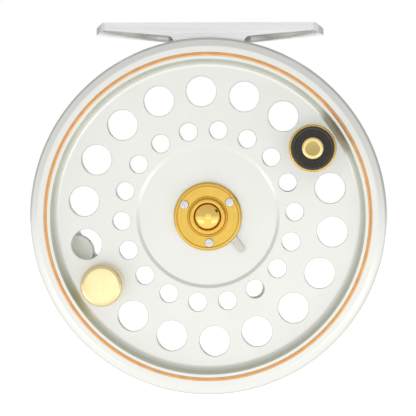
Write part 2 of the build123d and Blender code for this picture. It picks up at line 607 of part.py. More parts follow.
with BuildPart() as latch_cover:
    with BuildSketch(PROFILE):
        with BuildLine():
            Polyline((3.75, RECESS_Y), (COVER_RADIUS, RECESS_Y), (COVER_RADIUS, COVER_Y + 0.7))
            RadiusArc((COVER_RADIUS, COVER_Y + 0.7), (COVER_RADIUS - 0.7, COVER_Y), -0.7)
            Polyline((COVER_RADIUS - 0.7, COVER_Y), (COVER_RADIUS - 1.0, COVER_Y),
                     (COVER_RADIUS - 1.2, COVER_Y + 0.15), (COLLAR_RADIUS + 0.5, COVER_Y + 0.15))
            ThreePointArc((COLLAR_RADIUS + 0.5, COVER_Y + 0.15), (COLLAR_RADIUS + 0.15, COVER_Y),
                          (COLLAR_RADIUS, COVER_Y - 0.35))
            Line((COLLAR_RADIUS, COVER_Y - 0.35), (COLLAR_RADIUS, COLLAR_Y + 0.3))
            ThreePointArc((COLLAR_RADIUS, COLLAR_Y + 0.3), (4.4, COLLAR_Y), (3.9, COLLAR_Y + 0.3))
            Polyline((3.9, COLLAR_Y + 0.3), (3.75, COLLAR_Y + 0.5), (3.75, RECESS_Y))
        make_face()
    revolve(axis=SPINDLE_AXIS)
    # The pocket behind the cover holds the lever, which leaves through a slot in its wall
    with BuildSketch(at_y(RECESS_Y + 0.5)):
        Circle(COVER_POCKET)
        with Locations(LEVER_PIVOT):
            Circle(1.7)
            for swing in range(-1, LEVER_SWING + 3, 2):
                Rectangle(lever_reach + 3, LEVER_WIDTH + 0.4, rotation=lever_heading + swing,
                          align=(Align.MIN, Align.CENTER))
    extrude(amount=RECESS_Y + 0.5 - COVER_Y - COVER_ROOF, mode=Mode.SUBTRACT)
    with BuildSketch(at_y(RECESS_Y + 0.5)):
        with Locations(*[polar(COVER_SCREW_RING, angle) for angle in cover_screw_angles]):
            Circle(COVER_SCREW_SHANK)
    extrude(amount=4, mode=Mode.SUBTRACT)
    with BuildSketch(at_y(COVER_Y + 0.65)):
        with Locations(*[polar(COVER_SCREW_RING, angle) for angle in cover_screw_angles]):
            Circle(COVER_SCREW_HEAD + 0.05)
    extrude(amount=2, mode=Mode.SUBTRACT)
finish_part(latch_cover.part, "latch_cover")

with BuildPart() as cover_screws:
    seat_y = COVER_Y + 0.65
    top_y = COVER_Y - 0.1
    slot_angles = (38, -73, 0)
    for angle, slot_angle in zip(cover_screw_angles, slot_angles):
        with BuildSketch(profile_at(COVER_SCREW_RING, angle)):
            with BuildLine():
                Polyline((0, -6.5), (COVER_SCREW_SHANK, -6.5), (COVER_SCREW_SHANK, seat_y),
                         (COVER_SCREW_HEAD, seat_y), (COVER_SCREW_HEAD, top_y + 0.15),
                         (COVER_SCREW_HEAD - 0.15, top_y), (0, top_y), close=True)
            make_face()
        revolve(axis=axis_at(COVER_SCREW_RING, angle))
        with BuildSketch(at_y(top_y + 0.35)):
            with Locations(polar(COVER_SCREW_RING, angle)):
                Rectangle(3, 0.36, rotation=slot_angle)
        extrude(amount=1, mode=Mode.SUBTRACT)
finish_part(cover_screws.part, "cover_screws")

with BuildPart() as latch_pivot:
    with BuildSketch(at_y(RECESS_Y)):
        with Locations(LEVER_PIVOT):
            Circle(0.8)
    extrude(amount=RECESS_Y - COVER_Y - COVER_ROOF)
finish_part(latch_pivot.part, "latch_pivot")

with BuildPart() as latch_lever:
    with BuildSketch(at_y(LEVER_BACK_Y)):
        with Locations(LEVER_PIVOT):
            Circle(1.5)
        middle = ((LEVER_PIVOT[0] + LEVER_TIP[0]) / 2, (LEVER_PIVOT[1] + LEVER_TIP[1]) / 2)
        with Locations(middle):
            SlotOverall(lever_reach + LEVER_WIDTH, LEVER_WIDTH, rotation=lever_heading)
        # The wide middle wraps half way round the spindle's groove
        with BuildSketch(mode=Mode.PRIVATE) as yoke:
            Circle(5.0)
            with Locations(polar(1.05, lever_heading + 90)):
                Rectangle(12, 12, rotation=lever_heading, align=(Align.CENTER, Align.MIN),
                          mode=Mode.INTERSECT)
        add(yoke.sketch)
        Circle(GROOVE_RADIUS + 0.15, mode=Mode.SUBTRACT)
        with Locations(LEVER_PIVOT):
            Circle(0.8 + RUNNING_CLEARANCE, mode=Mode.SUBTRACT)
    extrude(amount=LEVER_THICKNESS)
finish_part(latch_lever.part, "latch_lever")

with BuildPart() as latch_spring:
    with BuildSketch(at_y(RECESS_Y - 0.1)):
        with Locations(LEVER_PIVOT):
            Circle(1.25)
            for leg_angle, leg_length in ((-25, 5.5), (-148, 5.0)):
                Rectangle(leg_length, 0.35, rotation=leg_angle, align=(Align.MIN, Align.CENTER))
            Circle(0.9, mode=Mode.SUBTRACT)
    extrude(amount=0.4)
finish_part(latch_spring.part, "latch_spring")

# --- Handle and counterweight ----------------------------------------------------------------

PLATE_TOP_Y = FACE_Y - 0.9
KNOB_BACK_Y = PLATE_TOP_Y - 0.15
KNOB_FRONT_Y = KNOB_BACK_Y - KNOB_LENGTH
BORE_RADIUS = POST_RADIUS + RUNNING_CLEARANCE
HEAD_RADIUS = 2.95

with BuildPart() as handle_plate:
    with BuildSketch(profile_at(HANDLE_RING, HANDLE_ANGLE)):
        with BuildLine():
            Polyline((POST_RADIUS, FACE_Y), (HANDLE_PLATE_RADIUS, FACE_Y),
                     (HANDLE_PLATE_RADIUS, PLATE_TOP_Y + 0.35))
            RadiusArc((HANDLE_PLATE_RADIUS, PLATE_TOP_Y + 0.35), (HANDLE_PLATE_RADIUS - 0.35, PLATE_TOP_Y),
                      -0.35)
            Polyline((HANDLE_PLATE_RADIUS - 0.35, PLATE_TOP_Y), (POST_RADIUS, PLATE_TOP_Y),
                     (POST_RADIUS, FACE_Y))
        make_face()
    revolve(axis=axis_at(HANDLE_RING, HANDLE_ANGLE))
finish_part(handle_plate.part, "handle_plate")

with BuildPart() as handle_post:
    with BuildSketch(profile_at(HANDLE_RING, HANDLE_ANGLE)):
        with BuildLine():
            head_back = KNOB_FRONT_Y + 1.45
            head_front = KNOB_FRONT_Y - 0.5
            Polyline((0, FACE_BACK_Y), (RIVET_RADIUS, FACE_BACK_Y), (RIVET_RADIUS, FACE_Y),
                     (POST_RADIUS, FACE_Y),
                     (POST_RADIUS, head_back), (HEAD_RADIUS, head_back), (HEAD_RADIUS, head_front + 0.6))
            ThreePointArc((HEAD_RADIUS, head_front + 0.6), (2.6, head_front + 0.15), (1.9, head_front))
            Polyline((1.9, head_front), (1.75, head_front + 0.15), (0, head_front + 0.15), (0, FACE_BACK_Y))
        make_face()
    revolve(axis=axis_at(HANDLE_RING, HANDLE_ANGLE))
finish_part(handle_post.part, "handle_post")

with BuildPart() as handle_knob:
    with BuildSketch(profile_at(HANDLE_RING, HANDLE_ANGLE)):
        with BuildLine():
            # A waisted barrel with a raised rim round a sunk front face
            Polyline((BORE_RADIUS, KNOB_BACK_Y), (KNOB_RADIUS - 0.6, KNOB_BACK_Y))
            ThreePointArc((KNOB_RADIUS - 0.6, KNOB_BACK_Y), (KNOB_RADIUS - 0.18, KNOB_BACK_Y - 0.18),
                          (KNOB_RADIUS, KNOB_BACK_Y - 0.6))
            ThreePointArc((KNOB_RADIUS, KNOB_BACK_Y - 0.6), (KNOB_WAIST, KNOB_BACK_Y - KNOB_LENGTH * 0.45),
                          (KNOB_RADIUS, KNOB_FRONT_Y + 0.8))
            ThreePointArc((KNOB_RADIUS, KNOB_FRONT_Y + 0.8), (KNOB_RADIUS - 0.2, KNOB_FRONT_Y + 0.2),
                          (KNOB_RADIUS - 0.7, KNOB_FRONT_Y))
            ThreePointArc((KNOB_RADIUS - 0.7, KNOB_FRONT_Y), (KNOB_RADIUS - 1.2, KNOB_FRONT_Y + 0.25),
                          (KNOB_RADIUS - 1.5, KNOB_FRONT_Y + 0.6))
            Polyline((KNOB_RADIUS - 1.5, KNOB_FRONT_Y + 0.6), (HEAD_RADIUS + 0.15, KNOB_FRONT_Y + 0.7),
                     (HEAD_RADIUS + 0.15, KNOB_FRONT_Y + 1.6), (BORE_RADIUS, KNOB_FRONT_Y + 1.6),
                     (BORE_RADIUS, KNOB_BACK_Y))
        make_face()
    revolve(axis=axis_at(HANDLE_RING, HANDLE_ANGLE))
finish_part(handle_knob.part, "handle_knob")

with BuildPart() as counterweight:
    with BuildSketch(profile_at(OUTER_PORT_RING, COUNTERWEIGHT_ANGLE)):
        with BuildLine():
            top = FACE_Y - COUNTERWEIGHT_HEIGHT
            edge = COUNTERWEIGHT_RADIUS
            Polyline((0, FACE_Y), (edge - 0.2, FACE_Y), (edge - 0.2, FACE_Y - 0.9), (edge, FACE_Y - 1.2),
                     (edge, top + 1.3))
            ThreePointArc((edge, top + 1.3), (edge - 0.33, top + 0.38), (edge - 1.0, top + 0.05))
            Polyline((edge - 1.0, top + 0.05), (edge - 1.3, top), (0, top), (0, FACE_Y))
        make_face()
    revolve(axis=axis_at(OUTER_PORT_RING, COUNTERWEIGHT_ANGLE))
    with BuildSketch(at_y(FACE_Y)):
        with Locations(counterweight_place):
            Circle(RIVET_RADIUS)
    extrude(amount=4, mode=Mode.SUBTRACT)
finish_part(counterweight.part, "counterweight")

with BuildPart() as counterweight_rivet:
    with BuildSketch(at_y(FACE_BACK_Y)):
        with Locations(counterweight_place):
            Circle(RIVET_RADIUS)
    extrude(amount=FACE_BACK_Y - FACE_Y + 4)
finish_part(counterweight_rivet.part, "counterweight_rivet")

# --- Click check -----------------------------------------------------------------------------

pawl_place = polar(PAWL_RING, PAWL_ANGLE)
arm_end = polar(PAWL_REACH, gap_angle)
stud_place = polar(STUD_RING, STUD_ANGLE)

with BuildPart() as pawl_post:
    with BuildSketch(profile_at(PAWL_RING, PAWL_ANGLE)):
        with BuildLine():
            Polyline((0, PAWL_Y - 0.1), (PAWL_PIN, PAWL_Y - 0.1), (PAWL_PIN, PAWL_Y + PAWL_THICKNESS + 0.1),
                     (PAWL_EYE, PAWL_Y + PAWL_THICKNESS + 0.1), (PAWL_EYE, PLATE_FRONT_Y),
                     (POST_SHANK, PLATE_FRONT_Y), (POST_SHANK, PLATE_WEB_Y), (1.5, PLATE_WEB_Y),
                     (1.1, PLATE_WEB_Y + 0.5), (0, PLATE_WEB_Y + 0.6), close=True)
        make_face()
    revolve(axis=axis_at(PAWL_RING, PAWL_ANGLE))
finish_part(pawl_post.part, "pawl_post")

with BuildPart() as click_pawl:
    with BuildSketch(at_y(PAWL_Y + PAWL_THICKNESS)):
        with Locations(pawl_place):
            Circle(PAWL_EYE)
        with Locations(arm_end):
            Circle(1.0)
        with BuildLine():
            arm = Line(pawl_place, arm_end)
        trace(arm, line_width=PAWL_ARM)
        # The nib points at the spindle's axis and sits in a gap between two teeth
        with BuildLine():
            Polyline(*[(radius * cos(radians(gap_angle)) - offset * sin(radians(gap_angle)),
                        radius * sin(radians(gap_angle)) + offset * cos(radians(gap_angle)))
                       for radius, offset in ((18.8, -0.9), (16.5, -0.25), (16.5, 0.25), (18.8, 0.9))],
                     close=True)
        make_face()
        with Locations(pawl_place):
            Circle(PAWL_PIN + RUNNING_CLEARANCE, mode=Mode.SUBTRACT)
    extrude(amount=PAWL_THICKNESS)
finish_part(click_pawl.part, "click_pawl")

with BuildPart() as spring_stud:
    with BuildSketch(profile_at(STUD_RING, STUD_ANGLE)):
        with BuildLine():
            Polyline((0, PAWL_Y - 0.1), (STUD_RADIUS, PAWL_Y - 0.1), (STUD_RADIUS, PLATE_FRONT_Y),
                     (POST_SHANK, PLATE_FRONT_Y), (POST_SHANK, PLATE_WEB_Y), (1.5, PLATE_WEB_Y),
                     (1.1, PLATE_WEB_Y + 0.5), (0, PLATE_WEB_Y + 0.6), close=True)
        make_face()
    revolve(axis=axis_at(STUD_RING, STUD_ANGLE))
finish_part(spring_stud.part, "spring_stud")

with BuildPart() as click_spring:
    with BuildSketch(at_y(10.1)):
        with Locations(stud_place):
            Circle(SPRING_COIL)
            Circle(STUD_RADIUS, mode=Mode.SUBTRACT)
        # One leg bends round to the outside of the pawl, the other points at the regulator's strip
        with BuildLine():
            coil_middle = (SPRING_COIL + STUD_RADIUS) / 2
            free_leg = Polyline((stud_place[0] + coil_middle, stud_place[1] + 0.2), polar(24.15, -49.6),
                                polar(20.0, -44), polar(20.47, gap_angle - 1))
        trace(free_leg, line_width=SPRING_WIRE)
        with BuildLine():
            tail_leg = Line(polar(STUD_RING, STUD_ANGLE - 3.2), polar(STUD_RING, STUD_ANGLE - 6.6))
        trace(tail_leg, line_width=SPRING_WIRE)
    extrude(amount=1.2)
finish_part(click_spring.part, "click_spring")

with BuildPart() as regulator_strip:
    strip_middle = (STRIP_INNER + STRIP_OUTER) / 2
    with BuildSketch(at_y(STRIP_Y + STRIP_THICKNESS)):
        with BuildLine():
            span = STRIP_END_ANGLE - STRIP_START_ANGLE
            outer_edge = CenterArc((0, 0), STRIP_OUTER, STRIP_START_ANGLE, span)
            inner_edge = CenterArc((0, 0), STRIP_INNER, STRIP_START_ANGLE, span)
            Line(outer_edge @ 0, inner_edge @ 0)
            Line(outer_edge @ 1, inner_edge @ 1)
        make_face()
        # A finger reaches out between two ports and turns along to a fork over the crank pin
        with Locations(polar(STRIP_OUTER - 1, FINGER_ANGLE)):
            Rectangle(FINGER_OUTER - STRIP_OUTER + 1, 2.2, rotation=FINGER_ANGLE,
                      align=(Align.MIN, Align.CENTER))
        with BuildLine():
            reach = REGULATOR_ANGLE - 3.3 - FINGER_ANGLE
            far_edge = CenterArc((0, 0), FINGER_OUTER, FINGER_ANGLE, reach)
            near_edge = CenterArc((0, 0), FINGER_INNER, FINGER_ANGLE, reach)
            Line(far_edge @ 0, near_edge @ 0)
            Line(far_edge @ 1, near_edge @ 1)
        make_face()
        with Locations(polar(35.4, REGULATOR_ANGLE)):
            Rectangle(2.0, FORK_SLOT + 2.4, rotation=REGULATOR_ANGLE, align=(Align.MIN, Align.CENTER))
        with Locations(polar(36.0, REGULATOR_ANGLE)):
            Rectangle(4, FORK_SLOT, rotation=REGULATOR_ANGLE, align=(Align.MIN, Align.CENTER),
                      mode=Mode.SUBTRACT)
        for guide_angle in GUIDE_ANGLES:
            with BuildLine(mode=Mode.PRIVATE) as slot_line:
                CenterArc((0, 0), strip_middle, guide_angle - REGULATOR_SWING - 0.3,
                          2 * REGULATOR_SWING + 0.6)
            SlotArc(slot_line.edge(), 2 * GUIDE_PIN + 0.3, mode=Mode.SUBTRACT)
    extrude(amount=STRIP_THICKNESS)
finish_part(regulator_strip.part, "regulator_strip")

with BuildPart() as strip_guides:
    for guide_angle in GUIDE_ANGLES:
        with BuildSketch(profile_at(strip_middle, guide_angle)):
            with BuildLine():
                Polyline((0, STRIP_Y - 0.6), (1.1, STRIP_Y - 0.6), (1.1, STRIP_Y - 0.1),
                         (GUIDE_PIN, STRIP_Y - 0.1), (GUIDE_PIN, PLATE_WEB_Y), (1.0, PLATE_WEB_Y),
                         (0.7, PLATE_WEB_Y + 0.35), (0, PLATE_WEB_Y + 0.4), close=True)
            make_face()
        revolve(axis=axis_at(strip_middle, guide_angle))
finish_part(strip_guides.part, "strip_guides")

with BuildPart() as drag_shaft:
    with BuildSketch(profile_at(REGULATOR_RING, REGULATOR_ANGLE)):
        with BuildLine():
            Polyline((0, 9.0), (CRANK_DISC, 9.0), (CRANK_DISC, 9.9), (REGULATOR_SHAFT, 9.9),
                     (REGULATOR_SHAFT, SHAFT_END_Y), (0, SHAFT_END_Y), close=True)
        make_face()
    revolve(axis=axis_at(REGULATOR_RING, REGULATOR_ANGLE))
    with BuildSketch(at_y(10.9)):
        with Locations(polar(REGULATOR_RING - CRANK_THROW, REGULATOR_ANGLE)):
            Circle(CRANK_PIN)
    extrude(amount=1.2)
finish_part(drag_shaft.part, "drag_shaft")

with BuildPart() as drag_knob:
    with BuildSketch(profile_at(REGULATOR_RING, REGULATOR_ANGLE)):
        with BuildLine():
            back = PLATE_BACK_Y + KNOB_GAP
            top = back + KNOB_HEIGHT
            edge = REGULATOR_KNOB
            Polyline((REGULATOR_SHAFT, back), (edge - 0.3, back), (edge, back + 0.3), (edge, top - 0.9))
            ThreePointArc((edge, top - 0.9), (edge - 0.3, top - 0.3), (edge - 1.0, top))
            Polyline((edge - 1.0, top), (0, top), (0, SHAFT_END_Y), (REGULATOR_SHAFT, SHAFT_END_Y),
                     (REGULATOR_SHAFT, back))
        make_face()
    revolve(axis=axis_at(REGULATOR_RING, REGULATOR_ANGLE))
    with BuildSketch(at_y(top + 0.1)):
        with Locations(polar(REGULATOR_RING, REGULATOR_ANGLE)):
            with PolarLocations(edge + 0.2, KNOB_FLUTES):
                Circle(FLUTE_RADIUS)
    extrude(amount=KNOB_HEIGHT - 0.8, mode=Mode.SUBTRACT)
finish_part(drag_knob.part, "drag_knob")
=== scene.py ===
"""Looks of the fly reel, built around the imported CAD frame. Sizes are millimetres until a mesh
is made, and the spindle's axis is parallel to Y."""
from math import asin, atan2, cos, degrees, hypot, pi, radians, sin, sqrt, tan

import bmesh
import bpy
from mathutils import Matrix, Vector


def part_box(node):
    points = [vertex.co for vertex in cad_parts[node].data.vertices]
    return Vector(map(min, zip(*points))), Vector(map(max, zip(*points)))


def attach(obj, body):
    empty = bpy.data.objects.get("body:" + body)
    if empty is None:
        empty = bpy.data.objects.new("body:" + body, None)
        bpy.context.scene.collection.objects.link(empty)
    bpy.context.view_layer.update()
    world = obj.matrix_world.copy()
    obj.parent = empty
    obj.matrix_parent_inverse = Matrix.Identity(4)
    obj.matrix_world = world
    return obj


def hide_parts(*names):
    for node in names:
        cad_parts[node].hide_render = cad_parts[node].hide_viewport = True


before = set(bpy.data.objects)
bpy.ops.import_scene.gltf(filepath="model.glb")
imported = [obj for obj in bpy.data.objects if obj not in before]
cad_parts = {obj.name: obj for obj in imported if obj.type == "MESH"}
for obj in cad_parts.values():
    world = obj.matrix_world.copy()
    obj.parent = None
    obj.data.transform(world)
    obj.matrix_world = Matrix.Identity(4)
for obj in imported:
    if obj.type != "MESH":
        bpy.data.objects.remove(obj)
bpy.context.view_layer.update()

MM = 0.001
SCENE = bpy.context.scene


def node_box(node):
    """Lowest and highest corners of a CAD node, in millimetres."""
    low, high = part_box(node)
    return low / MM, high / MM


def centre_of(node):
    """Centre of a CAD node's box seen from the front, as (x, z) in millimetres."""
    low, high = node_box(node)
    return ((low.x + high.x) / 2, (low.z + high.z) / 2)


# Places read from the frame
FACE_LOW, FACE_HIGH = node_box("spool_face")
SPINDLE = centre_of("spindle")
RIM_RADIUS = (FACE_HIGH.x - FACE_LOW.x) / 2
RIM_FRONT = FACE_LOW.y
RIM_BACK = FACE_HIGH.y
HANDLE = centre_of("handle_plate")
WEIGHT = centre_of("counterweight")
DRAG = centre_of("drag_knob")


def polar(radius, angle, centre=SPINDLE):
    """Point (x, z) at a radius and an angle in degrees about a centre on the face."""
    return (centre[0] + radius * cos(radians(angle)), centre[1] + radius * sin(radians(angle)))


def apart(point, centre=SPINDLE):
    """Distance of a point from a centre on the face."""
    return hypot(point[0] - centre[0], point[1] - centre[1])


def angle_of(point, centre=SPINDLE):
    """Angle in degrees of a point about a centre on the face."""
    return degrees(atan2(point[1] - centre[1], point[0] - centre[0]))


# The ports: two rings of holes, half a pitch apart, with the handle in one outer station
STATIONS = 18
PITCH = 360 / STATIONS
HANDLE_ANGLE = angle_of(HANDLE)
OUTER_PHASE = HANDLE_ANGLE - PITCH
INNER_PHASE = OUTER_PHASE - PITCH / 2
OPEN_STATIONS = [k for k in range(STATIONS) if k not in (1, 1 + STATIONS // 2)]


def outer_station(radius, k):
    """Place of the k-th outer port on a ring."""
    return polar(radius, OUTER_PHASE + PITCH * k)


def inner_station(radius, k):
    """Place of the k-th inner port on a ring."""
    return polar(radius, INNER_PHASE + PITCH * k)


# --- Camera, light and stage -------------------------------------------------------------------

FLOOR = -0.26
CAMERA_PLACE = (28.7, -611.0, SPINDLE[1] + 18.8)
CAMERA_AIM = (0.0, -11.0, SPINDLE[1] + 2.3)
LENS = 188.5


def facing(place, target):
    """Turn that points a camera or a light at a place towards a target."""
    return (target - place).to_track_quat("-Z", "Y").to_matrix().to_4x4()


def add_camera():
    """Long lens, level with the handle, aimed a little above the spindle."""
    data = bpy.data.cameras.new("camera")
    data.lens = LENS
    data.clip_end = 50
    camera = bpy.data.objects.new("camera", data)
    SCENE.collection.objects.link(camera)
    place = Vector(CAMERA_PLACE) * MM
    aim = Vector(CAMERA_AIM) * MM
    turn = facing(place, aim)
    camera.matrix_world = Matrix.Translation(place) @ turn
    SCENE.camera = camera


# Brightness of the studio as (place, grey) stops: by height in front of the reel, from straight
# down to straight up, and by distance behind it, from the sides to straight behind. A white
# backdrop fills the lens; the walls round it are darker.
FRONT_LIGHT = [(0.0, 1.0), (0.46, 1.0), (0.56, 0.82), (1.0, 0.72)]
BACK_LIGHT = [(0.0, 0.95), (0.25, 0.9), (0.5, 0.5), (0.90, 0.5), (0.955, 1.0)]
BACK_SHARE = [(0.45, 0.0), (0.55, 1.0)]


def add_world():
    """A white studio: bright in front and to the sides, softer above and on the walls behind."""
    world = bpy.data.worlds.new("studio")
    SCENE.world = world
    world.use_nodes = True
    tree = world.node_tree
    tree.nodes.clear()
    new = tree.nodes.new
    link = tree.links.new
    coord = new("ShaderNodeTexCoord")
    split = new("ShaderNodeSeparateXYZ")
    link(coord.outputs["Generated"], split.inputs[0])

    def ramp(source, stops, lowest=-1.0):
        """Greys along a direction's part that runs from the lowest value to one."""
        fit = new("ShaderNodeMapRange")
        fit.inputs["From Min"].default_value = lowest
        link(source, fit.inputs["Value"])
        curve = new("ShaderNodeValToRGB")
        curve.color_ramp.interpolation = "EASE"
        while len(curve.color_ramp.elements) < len(stops):
            curve.color_ramp.elements.new(0.5)
        for element, (place, grey) in zip(curve.color_ramp.elements, stops):
            element.position = place
            element.color = (grey, grey, grey, 1)
        link(fit.outputs["Result"], curve.inputs["Fac"])
        return curve.outputs["Color"]

    shade = new("ShaderNodeMix")
    shade.data_type = "RGBA"
    link(ramp(split.outputs["Y"], BACK_SHARE), shade.inputs["Factor"])
    link(ramp(split.outputs["Z"], FRONT_LIGHT), shade.inputs["A"])
    link(ramp(split.outputs["Y"], BACK_LIGHT, 0.0), shade.inputs["B"])
    background = new("ShaderNodeBackground")
    link(shade.outputs["Result"], background.inputs["Color"])
    link(background.outputs[0], new("ShaderNodeOutputWorld").inputs["Surface"])


def add_softbox(name, place, size, power):
    """Rectangular area light aimed at the reel, out of the camera's sight. Metres and watts."""
    data = bpy.data.lights.new(name, "AREA")
    data.shape = "RECTANGLE"
    data.size, data.size_y = size
    data.energy = power
    light = bpy.data.objects.new(name, data)
    light.visible_camera = False
    SCENE.collection.objects.link(light)
    place = Vector(place)
    target = Vector((0, 0, SPINDLE[1] * MM))
    light.matrix_world = Matrix.Translation(place) @ facing(place, target)


def add_floor():
    """Plain pale floor, well below the reel, which hangs from its foot."""
    mesh = bpy.data.meshes.new("floor")
    half = 6.0
    corners = [(x, y, FLOOR) for x, y in ((-half, -half), (half, -half), (half, half), (-half, half))]
    mesh.from_pydata(corners, [], [(0, 1, 2, 3)])
    floor = bpy.data.objects.new("floor", mesh)
    SCENE.collection.objects.link(floor)
    material = bpy.data.materials.new("floor_white")
    material.use_nodes = True
    shader = material.node_tree.nodes["Principled BSDF"]
    shader.inputs["Base Color"].default_value = (0.93, 0.93, 0.93, 1)
    shader.inputs["Roughness"].default_value = 0.9
    shader.inputs["Specular IOR Level"].default_value = 0.1
    shader.inputs["Emission Color"].default_value = (1, 1, 1, 1)
    shader.inputs["Emission Strength"].default_value = 0.55
    mesh.materials.append(material)


# --- Materials -----------------------------------------------------------------------------------

class Look:
    """A Principled material and short helpers for its procedural detail."""

    def __init__(self, name, colour, metallic, roughness, **sockets):
        self.material = bpy.data.materials.new(name)
        self.material.use_nodes = True
        self.tree = self.material.node_tree
        self.shader = self.tree.nodes["Principled BSDF"]
        self.colour = colour
        self.roughness = roughness
        self.shader.inputs["Base Color"].default_value = (*colour, 1)
        self.shader.inputs["Metallic"].default_value = metallic
        self.shader.inputs["Roughness"].default_value = roughness
        for socket, value in sockets.items():
            self.shader.inputs[socket.replace("_", " ")].default_value = value
        self.coord = self.node("ShaderNodeTexCoord").outputs["Object"]
        self.normal = None

    def node(self, kind, **inputs):
        made = self.tree.nodes.new(kind)
        for key, value in inputs.items():
            made.inputs[key.replace("_", " ")].default_value = value
        return made

    def link(self, a, b):
        self.tree.links.new(a, b)

    def stretched(self, scale, centre=(0, 0, 0)):
        """Object coordinates moved to a centre and scaled by axis."""
        shift = self.node("ShaderNodeVectorMath")
        shift.operation = "SUBTRACT"
        shift.inputs[1].default_value = centre
        self.link(self.coord, shift.inputs[0])
        grow = self.node("ShaderNodeVectorMath")
        grow.operation = "MULTIPLY"
        grow.inputs[1].default_value = scale
        self.link(shift.outputs[0], grow.inputs[0])
        return grow.outputs[0]

    def noise(self, scale, detail=3.0, vector=None):
        made = self.node("ShaderNodeTexNoise", Scale=scale, Detail=detail)
        self.link(vector or self.coord, made.inputs["Vector"])
        return made.outputs["Fac"]

    def radius(self, centre):
        """Distance from an axis along Y."""
        flat = self.stretched((1, 0, 1), (centre[0] * MM, 0, centre[1] * MM))
        length = self.node("ShaderNodeVectorMath")
        length.operation = "LENGTH"
        self.link(flat, length.inputs[0])
        return length.outputs["Value"]

    def turned(self, centre, lines):
        """Noise that changes with the radius only, as on a turned face about an axis along Y."""
        join = self.node("ShaderNodeCombineXYZ")
        self.link(self.radius(centre), join.inputs["X"])
        made = self.node("ShaderNodeTexNoise", Scale=lines, Detail=4.0, Roughness=0.7)
        self.link(join.outputs[0], made.inputs["Vector"])
        return made.outputs["Fac"]

    def band(self, centre, inner, outer, soft=0.12):
        """One on a ring between two radii about an axis along Y, and nothing elsewhere."""
        radius = self.radius(centre)
        rise = self.range(radius, 0, 1, (inner - soft) * MM, (inner + soft) * MM)
        fall = self.range(radius, 1, 0, (outer - soft) * MM, (outer + soft) * MM)
        both = self.node("ShaderNodeMath")
        both.operation = "MULTIPLY"
        self.link(rise, both.inputs[0])
        self.link(fall, both.inputs[1])
        return self.range(both.outputs[0], 0.3, 0.7, 0, 1)

    def range(self, source, low, high, from_low=0.3, from_high=0.7):
        """Value from low to high where the source goes between its own two limits."""
        made = self.node("ShaderNodeMapRange", From_Min=from_low, From_Max=from_high,
                         To_Min=low, To_Max=high)
        self.link(source, made.inputs["Value"])
        return made.outputs["Result"]

    def vary_roughness(self, source, spread):
        self.link(self.range(source, self.roughness - spread, self.roughness + spread),
                  self.shader.inputs["Roughness"])

    def vary_colour(self, source, other, amount=1.0):
        """Blend the base colour towards another one where the source is high."""
        mix = self.node("ShaderNodeMix")
        mix.data_type = "RGBA"
        self.link(self.range(source, 0.0, amount), mix.inputs["Factor"])
        before = self.shader.inputs["Base Color"]
        if before.is_linked:
            self.link(before.links[0].from_socket, mix.inputs["A"])
        else:
            mix.inputs["A"].default_value = (*self.colour, 1)
        mix.inputs["B"].default_value = (*other, 1)
        self.link(mix.outputs["Result"], self.shader.inputs["Base Color"])

    def bump(self, source, depth, strength=1.0):
        """Add a bump of the given depth in millimetres."""
        made = self.node("ShaderNodeBump", Strength=strength, Distance=depth * MM)
        self.link(source, made.inputs["Height"])
        if self.normal:
            self.link(self.normal, made.inputs["Normal"])
        self.normal = made.outputs["Normal"]
        self.link(self.normal, self.shader.inputs["Normal"])


def pearl_look(name, shade, bands=()):
    """Pearl anodised aluminium: satin off-white with the faintest turned grain and grey bloom.
    Each band (inner radius, outer radius, colour) is a ring of painted shade, and the
    shade number paints the whole colour lighter or darker in place of light and shade."""
    tint = Vector((0.905, 0.915, 0.865))
    look = Look(name, tint * shade, 0.62, 0.32, Specular_Tint=(0.8, 0.8, 0.76, 1))
    look.vary_colour(look.noise(38, 4), Vector((0.93, 0.925, 0.885)) * shade, 0.6)
    look.vary_colour(look.noise(2600, 2), Vector((0.85, 0.86, 0.815)) * shade, 0.22)
    for inner, outer, ring in bands:
        look.vary_colour(look.band(SPINDLE, inner, outer), ring, 1.0)
    look.vary_roughness(look.noise(120, 5), 0.035)
    look.bump(look.noise(3200, 2), 0.003, 0.35)
    look.bump(look.turned(SPINDLE, 4200), 0.003, 0.3)
    return look.material


def gold_look(name, centre, rough):
    """Gold anodised metal with fine turning marks about its own centre."""
    look = Look(name, (0.73, 0.49, 0.105), 1.0, rough)
    look.vary_colour(look.turned(centre, 1560), (0.62, 0.39, 0.07), 0.6)
    look.vary_roughness(look.noise(300, 4), 0.05)
    look.bump(look.turned(centre, 2600), 0.010, 0.6)
    look.bump(look.noise(4200, 3), 0.002, 0.3)
    return look.material


def polished_gold_look(name, colour, rough, bands=()):
    """Bright polished gold with light hairlines and a slightly uneven gloss. Each band (centre,
    inner radius, outer radius, colour) is a ring of painted dark reflection."""
    look = Look(name, colour, 1.0, rough)
    look.vary_colour(look.noise(160, 3), tuple(c * 0.93 for c in colour), 0.5)
    for centre, inner, outer, painted_reflection in bands:
        look.vary_colour(look.band(centre, inner, outer), painted_reflection, 1.0)
    look.vary_roughness(look.noise(420, 5), 0.03)
    look.bump(look.noise(150, 2), 0.01, 0.12)
    return look.material


def copper_look():
    """Satin copper ring let into the rim."""
    look = Look("copper", (0.78, 0.45, 0.20), 0.85, 0.36)
    look.vary_colour(look.noise(340, 4), (0.66, 0.34, 0.13), 0.7)
    look.vary_roughness(look.noise(800, 4), 0.06)
    look.bump(look.turned(SPINDLE, 6000), 0.004, 0.6)
    return look.material


